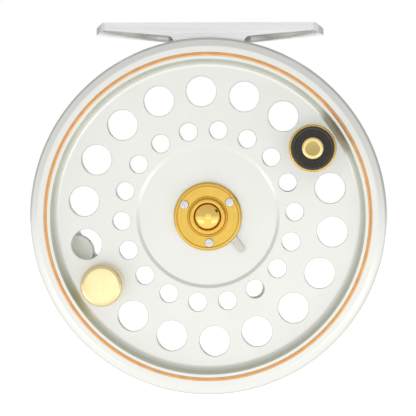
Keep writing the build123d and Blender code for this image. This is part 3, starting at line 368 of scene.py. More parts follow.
def brushed_look():
    """Bare aluminium, brushed along the foot, with short scratches."""
    look = Look("brushed_aluminium", (0.74, 0.745, 0.74), 1.0, 0.30)
    grain = look.noise(900, 5, look.stretched((0.03, 1, 1)))
    fine = look.noise(3200, 4, look.stretched((0.02, 1, 1)))
    look.vary_colour(grain, (0.64, 0.645, 0.64), 0.6)
    look.vary_roughness(fine, 0.07)
    look.bump(fine, 0.006, 0.6)
    look.bump(look.noise(60, 3), 0.02, 0.1)
    return look.material


def steel_look(name, colour, rough):
    """Turned steel with fine scratches."""
    look = Look(name, colour, 1.0, rough)
    look.vary_colour(look.noise(700, 4), tuple(c * 0.82 for c in colour), 0.6)
    look.vary_roughness(look.noise(1600, 5), 0.07)
    look.bump(look.noise(3600, 3, look.stretched((0.2, 1, 1))), 0.004, 0.5)
    return look.material


def black_look():
    """Polished black handle with faint turning rings and dust-fine haze."""
    look = Look("black_handle", (0.010, 0.010, 0.011), 0.0, 0.16, Specular_IOR_Level=0.6)
    look.vary_colour(look.noise(900, 4), (0.022, 0.021, 0.020), 0.5)
    look.vary_roughness(look.noise(500, 5), 0.06)
    look.bump(look.turned(HANDLE, 2600), 0.006, 0.5)
    return look.material


def bronze_look():
    """Turned bronze of the bushes and the click wheel."""
    look = Look("bronze", (0.50, 0.30, 0.12), 1.0, 0.33)
    look.vary_colour(look.noise(260, 4), (0.38, 0.22, 0.09), 0.6)
    look.vary_roughness(look.noise(900, 4), 0.07)
    look.bump(look.turned(SPINDLE, 3800), 0.005, 0.6)
    return look.material


# Painted shade rings (inner radius, outer radius, colour) and a painted dark reflection (centre, inner
# radius, outer radius, colour)
COVE_PAINTED_SHADE = (42.45, 43.35, (0.58, 0.60, 0.50))
RIM_EDGE_PAINTED_SHADE = (48.75, 60.0, (0.58, 0.59, 0.53))
RIVET_PAINTED_REFLECTION = (HANDLE, -1, 1.8, (0.42, 0.33, 0.13))

LOOKS = {
    "pearl": pearl_look("pearl", 0.88),
    # Pearl painted lighter, as painted light filling the cavity round the crank disc
    "pearl_painted_lit": pearl_look("pearl_painted_lit", 1.06),
    # Pearl painted darker on the spool's face, as painted shade that offsets the front lamp, with its
    # painted shade rings
    "pearl_face_shaded": pearl_look("pearl_face_shaded", 0.82, [COVE_PAINTED_SHADE, RIM_EDGE_PAINTED_SHADE]),
    "gold_cover": gold_look("gold_cover", SPINDLE, 0.30),
    "gold_handle": gold_look("gold_handle", HANDLE, 0.24),
    "gold_nut": gold_look("gold_nut", SPINDLE, 0.26),
    "gold_drag": gold_look("gold_drag", DRAG, 0.26),
    "gold_dome": polished_gold_look("gold_dome", (0.86, 0.58, 0.16), 0.08),
    # The rivet's gold has a painted dark reflection in its sunk centre
    "gold_rivet": polished_gold_look("gold_rivet", (0.80, 0.63, 0.28), 0.16, [RIVET_PAINTED_REFLECTION]),
    "gold_weight": polished_gold_look("gold_weight", (0.79, 0.66, 0.36), 0.10),
    "copper": copper_look(),
    "brushed": brushed_look(),
    "steel": steel_look("steel", (0.64, 0.64, 0.63), 0.26),
    "lever": steel_look("lever_steel", (0.60, 0.59, 0.52), 0.36),
    "black": black_look(),
    "bronze": bronze_look(),
}


# --- Geometry ------------------------------------------------------------------------------------

FINE, MEDIUM, SMALL = 288, 96, 48


def rounded(outline, steps=6):
    """Points of a closed outline, where a corner's third number is the radius that rounds it."""
    points = []
    for i, corner in enumerate(outline):
        here = Vector(corner[:2])
        if len(corner) < 3:
            points.append(here)
            continue
        to_last = Vector(outline[i - 1][:2]) - here
        to_next = Vector(outline[(i + 1) % len(outline)][:2]) - here
        half = to_last.angle(to_next) / 2
        reach = min(corner[2] / tan(half), 0.49 * to_last.length, 0.49 * to_next.length)
        start = here + to_last.normalized() * reach
        end = here + to_next.normalized() * reach
        middle = here + (to_last.normalized() + to_next.normalized()).normalized() * reach / cos(half)
        sweep = pi - 2 * half
        for k in range(steps + 1):
            before = sin(sweep * (1 - k / steps)) * (start - middle)
            after = sin(sweep * k / steps) * (end - middle)
            points.append(middle + (before + after) / sin(sweep))
    return points


def mesh_object(name, points, faces):
    """Object from points in millimetres, with shared corners joined and faces turned outwards."""
    mesh = bpy.data.meshes.new(name)
    mesh.from_pydata([Vector(point) * MM for point in points], [], faces)
    body = bmesh.new()
    body.from_mesh(mesh)
    bmesh.ops.remove_doubles(body, verts=body.verts, dist=1e-7)
    bmesh.ops.recalc_face_normals(body, faces=body.faces)
    body.to_mesh(mesh)
    body.free()
    made = bpy.data.objects.new(name, mesh)
    SCENE.collection.objects.link(made)
    return made


def lathe(name, outline, centre=SPINDLE, steps=MEDIUM):
    """Closed half section of (radius, y) corners, turned about an axis along Y."""
    points, rings, faces = [], [], []
    for radius, y in rounded(outline):
        turns = [0] * steps if radius < 1e-6 else range(steps)
        rings.append([len(points) + k for k in turns])
        for k in sorted(set(turns)):
            x, z = polar(radius, 360 * k / steps, centre)
            points.append((x, y, z))
    for ring, following in zip(rings, rings[1:] + rings[:1]):
        for k in range(steps):
            j = (k + 1) % steps
            face = list(dict.fromkeys((ring[k], ring[j], following[j], following[k])))
            if len(face) > 2:
                faces.append(face)
    return mesh_object(name, points, faces)


def prism(name, outline, front, back):
    """Closed outline of (x, z) points carried from one y to another."""
    count = len(outline)
    points = [(x, y, z) for y in (front, back) for x, z in outline]
    sides = [(k, (k + 1) % count, count + (k + 1) % count, count + k) for k in range(count)]
    return mesh_object(name, points, [tuple(range(count)), tuple(range(count, 2 * count))] + sides)


def arc(centre, radius, start, span, steps):
    """Points along an arc seen from the front, both ends included."""
    return [polar(radius, start + span * k / steps, centre) for k in range(steps + 1)]


def bar(start, heading, length, width):
    """Corners of a straight bar that leaves a point at a heading in degrees."""
    along = Vector((cos(radians(heading)), sin(radians(heading))))
    across = Vector((-along.y, along.x)) * width / 2
    first = Vector(start)
    last = first + along * length
    return [tuple(p) for p in (first - across, last - across, last + across, first + across)]


def disc(name, centre, radius, front, back, steps=SMALL):
    """Plain cylinder along Y, used as a cutter or joined to another shape."""
    return prism(name, arc(centre, radius, 0, 360 - 360 / steps, steps - 1), front, back)


def port(name, centre, radius, front, back, ease, steps=SMALL):
    """Cutter for a round port whose two mouths are eased."""
    mouth = radius + ease + 1
    outline = [(0, front - 1), (mouth, front - 1), (radius, front + ease, 0.3),
               (radius, back - ease, 0.3), (mouth, back + 1), (0, back + 1)]
    return lathe(name, outline, centre, steps)


def bake(piece):
    """Apply a piece's modifiers to its mesh."""
    bpy.context.view_layer.update()
    shown = piece.evaluated_get(bpy.context.evaluated_depsgraph_get())
    done = bpy.data.meshes.new_from_object(shown)
    piece.modifiers.clear()
    piece.data = done
    return piece


def combine(name, parts):
    """Join several objects into one."""
    body = bmesh.new()
    for part in parts:
        body.from_mesh(part.data)
    mesh = bpy.data.meshes.new(name)
    body.to_mesh(mesh)
    body.free()
    for part in parts:
        bpy.data.objects.remove(part)
    made = bpy.data.objects.new(name, mesh)
    SCENE.collection.objects.link(made)
    return made


def boolean(piece, tool, operation):
    """Combine a piece with a closed tool, which is used up."""
    step = piece.modifiers.new("boolean", "BOOLEAN")
    step.operation = operation
    step.solver = "EXACT"
    step.object = tool
    bake(piece)
    bpy.data.objects.remove(tool)
    return piece


def carve(piece, cutters):
    """Cut separate closed cutters out of a piece."""
    return boolean(piece, combine("cutters", cutters), "DIFFERENCE")


def soften(piece, width, steps=3, angle=30):
    """Round the sharp edges of a piece."""
    step = piece.modifiers.new("soften", "BEVEL")
    step.width = width * MM
    step.segments = steps
    step.limit_method = "ANGLE"
    step.angle_limit = radians(angle)
    step.miter_outer = "MITER_ARC"
    step.harden_normals = False
    return bake(piece)


def wire(name, path, radius, steps=12):
    """Round wire along a path of (x, y, z) points, with closed ends."""
    route = [Vector(point) for point in path]
    points, faces = [], []
    side = Vector((0, 1, 0))
    for i, here in enumerate(route):
        ahead = (route[min(i + 1, len(route) - 1)] - route[max(i - 1, 0)]).normalized()
        side = (side - ahead * side.dot(ahead)).normalized()
        up = ahead.cross(side)
        for k in range(steps):
            turn = 2 * pi * k / steps
            points.append(here + (side * cos(turn) + up * sin(turn)) * radius)
    for i in range(len(route) - 1):
        for k in range(steps):
            j = (k + 1) % steps
            faces.append((i * steps + k, i * steps + j, (i + 1) * steps + j, (i + 1) * steps + k))
    last = (len(route) - 1) * steps
    faces.append(tuple(range(steps)))
    faces.append(tuple(range(last, last + steps)))
    return mesh_object(name, points, faces)


def finish_piece(piece, look, body, node, sharp=33):
    """Shade a piece, give it its look and let it stand for its CAD node."""
    piece.name = f"{node}_look"
    mesh = piece.data
    mesh.materials.clear()
    mesh.materials.append(LOOKS[look])
    mesh.shade_smooth()
    mesh.set_sharp_from_angle(angle=radians(sharp))
    step = piece.modifiers.new("normals", "WEIGHTED_NORMAL")
    step.keep_sharp = True
    bake(piece)
    piece.data.name = piece.name
    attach(piece, body)
    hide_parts(node)


# --- Frame ---------------------------------------------------------------------------------------

FRAME_RADIUS = 48.4
PLATE_FRONT, PLATE_BACK = (corner.y for corner in node_box("back_plate"))
PLATE_WEB = PLATE_BACK - 0.6
RING_BACK = node_box("front_ring")[1].y
PILLARS = [polar(45.0, angle) for angle in (20, 160, 225, 315)]
FOOT_SCREW_X = 5.0
BRIDGE_SCREWS = [polar(46.15, 90 + side * 9) for side in (-1, 1)]
PLATE_OUTER = [outer_station(35.9, k) for k in range(STATIONS)]
PLATE_OUTER_PORT = 5.6
PAD_PORT = min(PLATE_OUTER, key=lambda place: apart(place, DRAG))
SMALL_STATIONS = (1, 15)
SMALL_PORTS = ((23.6, 23.3), (24.1, -60.6))
PAD_RADIUS, PAD_FILLET = 4.9, 1.9
PAWL_POST = centre_of("pawl_post")
SPRING_STUD = centre_of("spring_stud")


def pad_port():
    """Outline of the port that the regulator's pad half closes, blended where the two meet."""
    centre = PAD_PORT
    heading, span = angle_of(DRAG, centre), apart(DRAG, centre)
    outer, inner = PLATE_OUTER_PORT - PAD_FILLET, PAD_RADIUS + PAD_FILLET
    along = (span ** 2 + outer ** 2 - inner ** 2) / (2 * span)
    away = sqrt(outer ** 2 - along ** 2)
    wide, narrow = degrees(atan2(away, along)), degrees(atan2(away, span - along))
    first, last = polar(outer, heading + wide, centre), polar(outer, heading - wide, centre)
    outline = arc(centre, PLATE_OUTER_PORT, heading + wide, 360 - 2 * wide, 60)
    outline += arc(last, PAD_FILLET, heading - wide, wide + narrow, 16)[1:]
    outline += arc(DRAG, PAD_RADIUS, heading + 180 + narrow, -2 * narrow, 32)[1:]
    outline += arc(first, PAD_FILLET, heading - narrow, wide + narrow, 16)[1:-1]
    return prism("pad_port", outline, PLATE_FRONT - 1, PLATE_BACK + 1)


def make_back_plate():
    """Rear plate of the cage: a raised rim and hub, two rings of ports and a pad for the knob."""
    outline = [(3.0, PLATE_FRONT), (FRAME_RADIUS, PLATE_FRONT, 0.4), (FRAME_RADIUS, PLATE_BACK, 1.4),
               (43.0, PLATE_BACK, 0.3), (42.0, PLATE_WEB, 0.4), (15.0, PLATE_WEB, 0.4),
               (14.0, PLATE_BACK, 0.3), (3.0, PLATE_BACK)]
    plate = lathe("plate", outline, steps=FINE)
    front, back = PLATE_FRONT, PLATE_WEB
    holes = [(place, PLATE_OUTER_PORT) for place in PLATE_OUTER if place != PAD_PORT]
    holes += [(inner_station(24.8, k), 3.7) for k in range(STATIONS) if k not in SMALL_STATIONS]
    holes += [(polar(*place), 2.73) for place in SMALL_PORTS]
    carve(plate, [port("hole", place, radius, front, back, 0.12) for place, radius in holes])
    carve(plate, [pad_port()])
    finish_piece(plate, "pearl", "frame", "back_plate")


def make_front_ring():
    """Front ring of the cage, with the tongue that runs inside the spool's skirt."""
    front, back, tongue = -9.0, RING_BACK, -12.8
    outline = [(42.2, back, 0.3), (42.2, front, 0.3), (44.9, front, 0.3), (44.9, tongue, 0.3),
               (47.2, tongue, 0.3), (47.2, front, 0.3), (FRAME_RADIUS, front, 0.4),
               (FRAME_RADIUS, back, 0.4)]
    finish_piece(lathe("ring", outline, steps=FINE), "pearl", "frame", "front_ring")


def make_pillars():
    """Four waisted pillars between the front ring and the back plate."""
    low, high = RING_BACK, PLATE_FRONT
    waist = [(2.5 - 0.4 * sin(pi * k / 12) ** 2, low + 2 + (high - low - 4) * k / 12) for k in range(13)]
    outline = [(0, low), (2.5, low, 0.25)] + waist + [(2.5, high, 0.25), (0, high)]
    pillars = [lathe("pillar", outline, place) for place in PILLARS]
    finish_piece(combine("pillars", pillars), "pearl", "frame", "pillars")


def make_foot_bridge():
    """Thick arc between the two plates that carries the rod foot, sunk for its screws."""
    outer = arc(SPINDLE, FRAME_RADIUS, 76, 28, 48)
    inner = arc(SPINDLE, 43.9, 104, -28, 48)
    bridge = prism("bridge", outer + inner, RING_BACK, PLATE_FRONT)
    low, high = SPINDLE[1] + 41, SPINDLE[1] + 46
    sink = [(0, low), (2.1, low), (2.1, high), (0, high)]
    carve(bridge, [upright("sink", sink, x) for x in (-FOOT_SCREW_X, FOOT_SCREW_X)])
    finish_piece(soften(bridge, 0.25), "pearl", "frame", "foot_bridge")


def upright(name, outline, x):
    """Closed half section of (radius, z) corners, turned about a vertical axis at y = 0."""
    made = lathe(name, outline, (0, 0), SMALL)
    made.data.transform(Matrix.Rotation(radians(90), 4, "X"))
    made.data.transform(Matrix.Translation((x * MM, 0, 0)))
    return made


def slotted_screw(place, shank, head, length, seat, top, turn, slot=0.45, depth=0.45, round_over=0.3):
    """Screw along Y with its head between two heights and a straight slot across it."""
    step = 1 if top > seat else -1
    end = seat - step * length
    outline = [(0, end), (shank, end, 0.15), (shank, seat), (head, seat, 0.06), (head, top, round_over),
               (0, top)]
    screw = lathe("screw", outline, place, SMALL)
    reach = head + 1
    start = polar(-reach, turn, place)
    low, high = sorted((top - step * depth, top + step))
    return carve(screw, [prism("slot", bar(start, turn, 2 * reach, slot), low, high)])


def make_frame_screws():
    """Slotted screws through the back plate into the pillars and the bridge."""
    places = PILLARS + BRIDGE_SCREWS
    top = node_box("frame_screws")[1].y
    screws = [slotted_screw(place, 1.2, 2.1, 6.8, PLATE_BACK, top, 3 * angle_of(place))
              for place in places]
    finish_piece(combine("screws", screws), "steel", "frame", "frame_screws")


# --- Rod foot ------------------------------------------------------------------------------------

FOOT_HIGH = node_box("foot")[1]
FOOT_HALF = FOOT_HIGH.x
FOOT_SIDE = FOOT_HIGH.y
LAND = FOOT_HIGH.z
SADDLE_RADIUS = 11.5
SADDLE_HALF = FOOT_SIDE - 0.6
FOOT_ROOT = 11.6
ROOT_HEIGHT, TIP_HEIGHT, DROOP = 3.7, 1.9, 1.6


def foot_section(x, cuts=24):
    """Closed cross-section of the foot at x, as (y, z) points: saddle above, belly below."""
    along = max(0, (abs(x) - FOOT_ROOT) / (FOOT_HALF - FOOT_ROOT))
    low = LAND - ROOT_HEIGHT + (ROOT_HEIGHT - TIP_HEIGHT) * along
    belly = (FOOT_SIDE ** 2 + DROOP ** 2) / (2 * DROOP)
    saddle_y = [SADDLE_HALF * (2 * k / cuts - 1) for k in range(cuts + 1)]
    saddle = [(y, SADDLE_RADIUS - sqrt(SADDLE_RADIUS ** 2 - y ** 2)) for y in saddle_y]
    belly_y = [FOOT_SIDE * (1 - 2 * k / cuts) for k in range(cuts + 1)]
    under = [(y, low - DROOP + belly - sqrt(belly ** 2 - y ** 2)) for y in belly_y]
    return saddle + [(FOOT_SIDE, LAND)] + under + [(-FOOT_SIDE, LAND)]


def make_foot():
    """Machined foot: a thin saddle that thins to round ends, on a pedestal with a small flare."""
    stations = [-FOOT_HALF, -FOOT_ROOT, FOOT_ROOT, FOOT_HALF]
    sections = [foot_section(x) for x in stations]
    count = len(sections[0])
    points = [(x, y, z) for x, section in zip(stations, sections) for y, z in section]
    faces = [tuple(range(count)), tuple(range(3 * count, 4 * count))]
    for i in range(3):
        for k in range(count):
            j = (k + 1) % count
            faces.append((i * count + k, i * count + j, (i + 1) * count + j, (i + 1) * count + k))
    foot = mesh_object("foot", points, faces)

    half, low = 9.75, LAND - ROOT_HEIGHT
    flare = FOOT_ROOT - 0.05 - half
    right = [(half + flare * (1 - cos(turn)), low - flare * (1 - sin(turn)))
             for turn in (radians(15 * k) for k in range(7))]
    side = [(half, -8)] + right + [(right[-1][0], -1.5)]
    outline = side + [(-x, z) for x, z in reversed(side)]
    boolean(foot, prism("pedestal", outline, -FOOT_SIDE, FOOT_SIDE), "UNION")

    # Both ends are round in plan, and the underside fits the round frame
    edge = 29.0
    rise = FOOT_HALF - edge
    end_radius = (FOOT_SIDE ** 2 + rise ** 2) / (2 * rise)
    reach = degrees(asin(FOOT_SIDE / end_radius))
    middle = FOOT_HALF - end_radius
    end = [(middle + end_radius * cos(radians(a)), end_radius * sin(radians(a)))
           for a in (reach * (k / 12 - 1) for k in range(25))]
    plan = end + [(-x, -y) for x, y in end]
    plate = prism("plan", plan, -20, 20)
    plate.data.transform(Matrix.Rotation(radians(90), 4, "X"))
    boolean(foot, plate, "INTERSECT")
    boolean(foot, disc("frame", SPINDLE, FRAME_RADIUS, -20, 20, FINE), "DIFFERENCE")
    finish_piece(soften(foot, 0.32, 3, 25), "brushed", "frame", "foot")


def make_foot_screws():
    """Two slotted screws that hold the foot, sunk in the underside of the bridge."""
    screws = []
    low = node_box("foot_screws")[0].z
    seat, end = low + 1.65, low + 5.6
    outline = [(0, low), (2.0, low, 0.3), (2.0, seat), (1.2, seat), (1.2, end), (0, end)]
    for x in (-FOOT_SCREW_X, FOOT_SCREW_X):
        slot = prism("slot", bar((x - 3, low), 0, 6, 1.0), -0.25, 0.25)
        screws.append(carve(upright("screw", outline, x), [slot]))
    finish_piece(combine("screws", screws), "steel", "frame", "foot_screws")


# --- Spindle -------------------------------------------------------------------------------------

SPINDLE_RADIUS = 3.5
LEVER_FRONT, LEVER_BACK = (corner.y for corner in node_box("latch_lever"))
SPINDLE_LOW, SPINDLE_HIGH = node_box("spindle")
REAR_FACE = node_box("rear_flange")[1].y


def make_spindle():
    """Fixed spindle: a thrust collar, the journal, the latch groove and a polished domed nose."""
    nose, rise = SPINDLE_LOW.y, 1.7
    turns = [radians(90 * k / 24) for k in range(24, 0, -1)]
    cap = [(SPINDLE_RADIUS * sin(turn), nose + rise * (1 - cos(turn))) for turn in turns] + [(0, nose)]
    collar = REAR_FACE + 0.2
    groove_back, groove_front = LEVER_BACK + 0.3, LEVER_FRONT - 0.3
    outline = [(0, SPINDLE_HIGH.y), (2.2, SPINDLE_HIGH.y, 0.3), (2.2, PLATE_BACK), (3.0, PLATE_BACK),
               (3.0, PLATE_FRONT), (6.4, PLATE_FRONT), (6.4, collar, 0.3), (SPINDLE_RADIUS, collar),
               (SPINDLE_RADIUS, groove_back, 0.1), (2.7, groove_back), (2.7, groove_front),
               (SPINDLE_RADIUS, groove_front, 0.1)]
    finish_piece(lathe("spindle", outline + cap), "gold_dome", "frame", "spindle", 50)


def make_spindle_nut():
    """Domed nut with a wide slot on the back plate."""
    top = node_box("spindle_nut")[1].y
    rise = [(6.0 * cos(radians(a)), top - 1.3 + 1.3 * sin(radians(a))) for a in range(0, 90, 6)]
    outline = [(2.2, PLATE_BACK), (6.0, PLATE_BACK, 0.15), (6.0, PLATE_BACK + 0.9)] + rise
    outline += [(0, top), (0, SPINDLE_HIGH.y), (2.2, SPINDLE_HIGH.y)]
    nut = lathe("nut", outline)
    slot = prism("slot", bar((SPINDLE[0] - 7, SPINDLE[1]), 0, 14, 0.9), top - 0.7, top + 1)
    finish_piece(carve(nut, [slot]), "gold_nut", "frame", "spindle_nut")


# --- Spool ---------------------------------------------------------------------------------------

FACE_FRONT = -11.6
FACE_BACK = -10.0
RECESS = FACE_FRONT + 0.6
INLAY_INNER, INLAY_OUTER, INLAY_DEPTH = 44.2, 45.15, 0.6
DRUM_BACK = node_box("rear_flange")[1].y - 1.2
BUSH_OUTER = 4.6


def make_spool_face():
    """Ported face in a shallow dish, with a flat lip, an inlay groove and a palming skirt."""
    groove = RIM_FRONT + INLAY_DEPTH
    skirt = RIM_RADIUS - 1.4
    outline = [(BUSH_OUTER, FACE_BACK), (BUSH_OUTER, RECESS, 0.1), (18.9, RECESS, 0.1),
               (19.8, FACE_FRONT, 0.12), (41.9, FACE_FRONT, 1.1), (42.45, -13.0, 0.6),
               (43.3, RIM_FRONT, 0.32), (INLAY_INNER, RIM_FRONT, 0.06), (INLAY_INNER, groove),
               (INLAY_OUTER, groove), (INLAY_OUTER, RIM_FRONT, 0.06), (46.9, RIM_FRONT, 0.8),
               (48.5, -14.0, 1.8), (RIM_RADIUS, -11.6, 1.5), (RIM_RADIUS, RIM_BACK, 0.35),
               (skirt, RIM_BACK, 0.15), (skirt, -13.6, 0.3), (44.3, -13.6, 0.3),
               (44.3, -11.2, 0.3), (43.1, FACE_BACK, 0.3)]
    face = lathe("face", outline, steps=FINE)
    ease = 0.16
    outer, inner = 4.25 - ease / 2, 2.58 - ease / 2
    ports = [port("port", outer_station(34.5, k), outer, FACE_FRONT, FACE_BACK, ease, 64)
             for k in OPEN_STATIONS]
    ports += [port("port", inner_station(23.9, k), inner, FACE_FRONT, FACE_BACK, ease)
              for k in range(STATIONS)]
    # The face's pearl is painted darker than the rest, with painted shade in the cove and round the
    # rim's edge
    finish_piece(carve(face, ports), "pearl_face_shaded", "spool", "spool_face", 25)


def make_rim_inlay():
    """Copper ring pressed into the rim, turned with a fine line along its middle."""
    middle, line = (INLAY_INNER + INLAY_OUTER) / 2, 0.08
    base, crown = RIM_FRONT + INLAY_DEPTH, RIM_FRONT - 0.1
    outline = [(INLAY_INNER, base), (INLAY_INNER, RIM_FRONT, 0.05), (middle - 0.25, crown, 0.1),
               (middle - line, crown, 0.02), (middle, RIM_FRONT), (middle + line, crown, 0.02),
               (middle + 0.25, crown, 0.1), (INLAY_OUTER, RIM_FRONT, 0.05), (INLAY_OUTER, base)]
    finish_piece(lathe("inlay", outline, steps=FINE), "copper", "spool", "rim_inlay")


def make_spool_drum():
    """Drum that takes the line, on a web and a hub."""
    outline = [(BUSH_OUTER, FACE_BACK), (9.5, FACE_BACK, 0.1), (9.5, -7.0, 0.2), (7.0, -5.5, 0.4),
               (7.0, 4.6, 0.5), (18.9, 4.6, 0.5), (18.9, FACE_BACK, 0.05), (20.4, FACE_BACK),
               (20.4, DRUM_BACK), (BUSH_OUTER, DRUM_BACK)]
    finish_piece(lathe("drum", outline, steps=FINE), "pearl", "spool", "spool_drum")


def make_rear_flange():
    """Rear flange of the spool with a rolled edge and two rings of ports."""
    rim, front, back = 41.4, DRUM_BACK, REAR_FACE
    outline = [(BUSH_OUTER, front), (rim - 1.3, front, 0.3), (rim - 0.6, front - 0.3, 0.25),
               (rim, front + 0.1, 0.4), (rim, back, 0.5), (BUSH_OUTER, back, 0.1)]
    flange = lathe("flange", outline, steps=FINE)
    ports = [port("port", outer_station(35.4, k), 5.2, front, back, 0.15) for k in range(STATIONS)]
    ports += [port("port", inner_station(24.6, k), 3.6, front, back, 0.12) for k in range(STATIONS)]
    finish_piece(carve(flange, ports), "pearl", "spool", "rear_flange")


def make_bushes():
    """Bronze bushes at both ends of the hub, eased at their bores."""
    for node in ("front_bush", "rear_bush"):
        low, high = node_box(node)
        outline = [(3.55, low.y, 0.25), (BUSH_OUTER, low.y, 0.15), (BUSH_OUTER, high.y, 0.15),
                   (3.55, high.y, 0.25)]
        finish_piece(lathe("bush", outline), "bronze", "spool", node)


# --- Click wheel and its screws ------------------------------------------------------------------

TEETH = 36
GEAR_SCREWS = [polar(11.0, 90 + 120 * k) for k in range(3)]
PAWL_REACH = 19.1
PAWL_RADIUS = apart(PAWL_POST)
GAP_ANGLE = angle_of(PAWL_POST) - degrees(atan2(sqrt(PAWL_RADIUS ** 2 - PAWL_REACH ** 2), PAWL_REACH))


def make_click_gear():
    """Click wheel with slightly rounded teeth, screwed to the rear flange."""
    low, high = node_box("click_gear")
    tip, root = 17.4, 15.9
    outline = []
    for tooth in range(TEETH):
        middle = GAP_ANGLE + 360 / TEETH * tooth
        for radius, turn in ((tip, -3.95), (root, -1.26), (root, 1.26), (tip, 3.95)):
            outline.append(polar(radius, middle + turn))
    gear = prism("gear", outline, low.y, high.y)
    carve(gear, [disc("bore", SPINDLE, 7.1, low.y - 1, high.y + 1, MEDIUM)])
    finish_piece(soften(gear, 0.1, 2), "bronze", "spool", "click_gear")


def make_gear_screws():
    """Three slotted screws through the click wheel."""
    seat, top = node_box("click_gear")[1].y, node_box("gear_screws")[1].y
    screws = [slotted_screw(place, 0.8, 1.5, 3.7, seat, top, angle_of(place) + 25, 0.4, 0.35, 0.25)
              for place in GEAR_SCREWS]
    finish_piece(combine("screws", screws), "steel", "spool", "gear_screws")


# --- Spool latch ---------------------------------------------------------------------------------

COVER_FRONT = -13.4
COVER_ROOF = COVER_FRONT + 0.7
LEVER_PIVOT = centre_of("latch_pivot")
LEVER_TIP = (SPINDLE[0] + 9.13, SPINDLE[1] - 8.97)
LEVER_WIDTH = 2.0
LEVER_HEADING = angle_of(LEVER_TIP, LEVER_PIVOT)
LEVER_REACH = apart(LEVER_TIP, LEVER_PIVOT)
COVER_SCREWS = [polar(7.2, HANDLE_ANGLE + 120 * k) for k in range(3)]
SCREW_TURNS = (38, -73, 0)


def make_latch_cover():
    """Turned cover over the latch: a bead round its edge, two fine grooves and a raised collar."""
    front = COVER_FRONT
    bore = SPINDLE_RADIUS + 0.06
    collar = front - 1.2
    outline = [(bore, COVER_ROOF), (6.2, COVER_ROOF), (6.2, RECESS), (9.4, RECESS, 0.1),
               (9.4, front + 0.75, 0.3), (9.1, front, 0.5), (8.6, front, 0.12),
               (8.42, front + 0.22, 0.04), (8.25, front + 0.12, 0.06), (5.62, front + 0.12, 0.04),
               (5.5, front + 0.25, 0.03), (5.38, front + 0.05, 0.05), (5.22, front + 0.05, 0.05),
               (5.08, front + 0.2, 0.03), (4.9, front - 0.05, 0.12), (4.9, collar, 0.38),
               (3.85, collar, 0.28), (bore, collar + 0.5, 0.1)]
    cover = lathe("cover", outline, steps=192)
    carve(cover, [disc("seat", place, 1.275, front - 1, front + 0.65) for place in COVER_SCREWS])
    near, far = (bar(LEVER_PIVOT, LEVER_HEADING + swing, LEVER_REACH + 3, LEVER_WIDTH + 0.4)
                 for swing in (-1, 13))
    carve(cover, [prism("slot", near[:2] + far[2:], COVER_ROOF + 0.02, RECESS + 1)])
    finish_piece(cover, "gold_cover", "spool", "latch_cover", 28)


def make_cover_screws():
    """Three small slotted screws in the cover."""
    seat, top = COVER_FRONT + 0.65, node_box("cover_screws")[0].y
    screws = [slotted_screw(place, 0.6, 1.225, 6.2, seat, top, turn, 0.4, 0.6, 0.22)
              for place, turn in zip(COVER_SCREWS, SCREW_TURNS)]
    finish_piece(combine("screws", screws), "steel", "spool", "cover_screws")


def make_latch_pivot():
    """Pin that the latch lever turns on."""
    low, high = node_box("latch_pivot")
    outline = [(0, low.y), (0.8, low.y, 0.1), (0.8, high.y, 0.1), (0, high.y)]
    finish_piece(lathe("pivot", outline, LEVER_PIVOT, SMALL), "steel", "spool", "latch_pivot")


def make_latch_lever():
    """Flat lever: an eye, a wide middle that wraps half round the spindle and a rounded tip."""
    front, back = LEVER_FRONT, LEVER_BACK
    half = LEVER_WIDTH / 2
    tip = arc(LEVER_TIP, half, LEVER_HEADING - 90, 180, 16)
    eye = arc(LEVER_PIVOT, half, LEVER_HEADING + 90, 180, 16)
    lever = prism("lever", tip + eye, front, back)
    boolean(lever, disc("eye", LEVER_PIVOT, 1.5, front, back), "UNION")
    cut = degrees(asin(1.05 / 5.0))
    yoke = arc(SPINDLE, 5.0, LEVER_HEADING + cut, 180 - 2 * cut, 32)
    boolean(lever, prism("yoke", yoke, front, back), "UNION")
    carve(lever, [disc("groove", SPINDLE, 2.85, front - 1, back + 1, MEDIUM)])
    carve(lever, [disc("bore", LEVER_PIVOT, 0.85, front - 1, back + 1)])
    finish_piece(soften(lever, 0.16, 3), "lever", "latch", "latch_lever")


def make_latch_spring():
    """Hair spring round the pivot with two straight legs."""
    low, high = node_box("latch_spring")
    y = (low.y + high.y) / 2
    radius, gauge = 1.08, 0.17
    turns = [polar(radius, 115 - 15 * k, LEVER_PIVOT) for k in range(47)]
    start = bar(turns[0], -25, 5.2, 0)[1]
    last = bar(turns[-1], -148, 4.8, 0)[1]
    flat = [start] + turns + [last]
    path = [(x, y - 0.02 + 0.04 * k / len(flat), z) for k, (x, z) in enumerate(flat)]
    finish_piece(wire("spring", path, gauge), "steel", "spool", "latch_spring")


# --- Handle and counterweight --------------------------------------------------------------------

def make_handle_plate():
    """Gold washer under the handle with a rounded edge and a turned step."""
    low, high = node_box("handle_plate")
    radius = (high.x - low.x) / 2
    outline = [(2.0, high.y), (radius, high.y, 0.08), (radius, low.y, 0.42), (2.0, low.y)]
    finish_piece(lathe("plate", outline, HANDLE), "gold_handle", "spool", "handle_plate")


def make_handle_post():
    """Post through the handle with a riveted, rounded head and a flat sunk centre."""
    low, high = node_box("handle_post")
    front, seat = low.y, low.y + 1.95
    outline = [(0, high.y), (1.6, high.y, 0.1), (1.6, FACE_FRONT), (2.0, FACE_FRONT), (2.0, seat),
               (2.95, seat, 0.1), (2.95, front, 0.62), (1.95, front, 0.2), (1.82, front + 0.2, 0.05),
               (0, front + 0.2)]
    finish_piece(lathe("post", outline, HANDLE), "gold_rivet", "spool", "handle_post", 40)


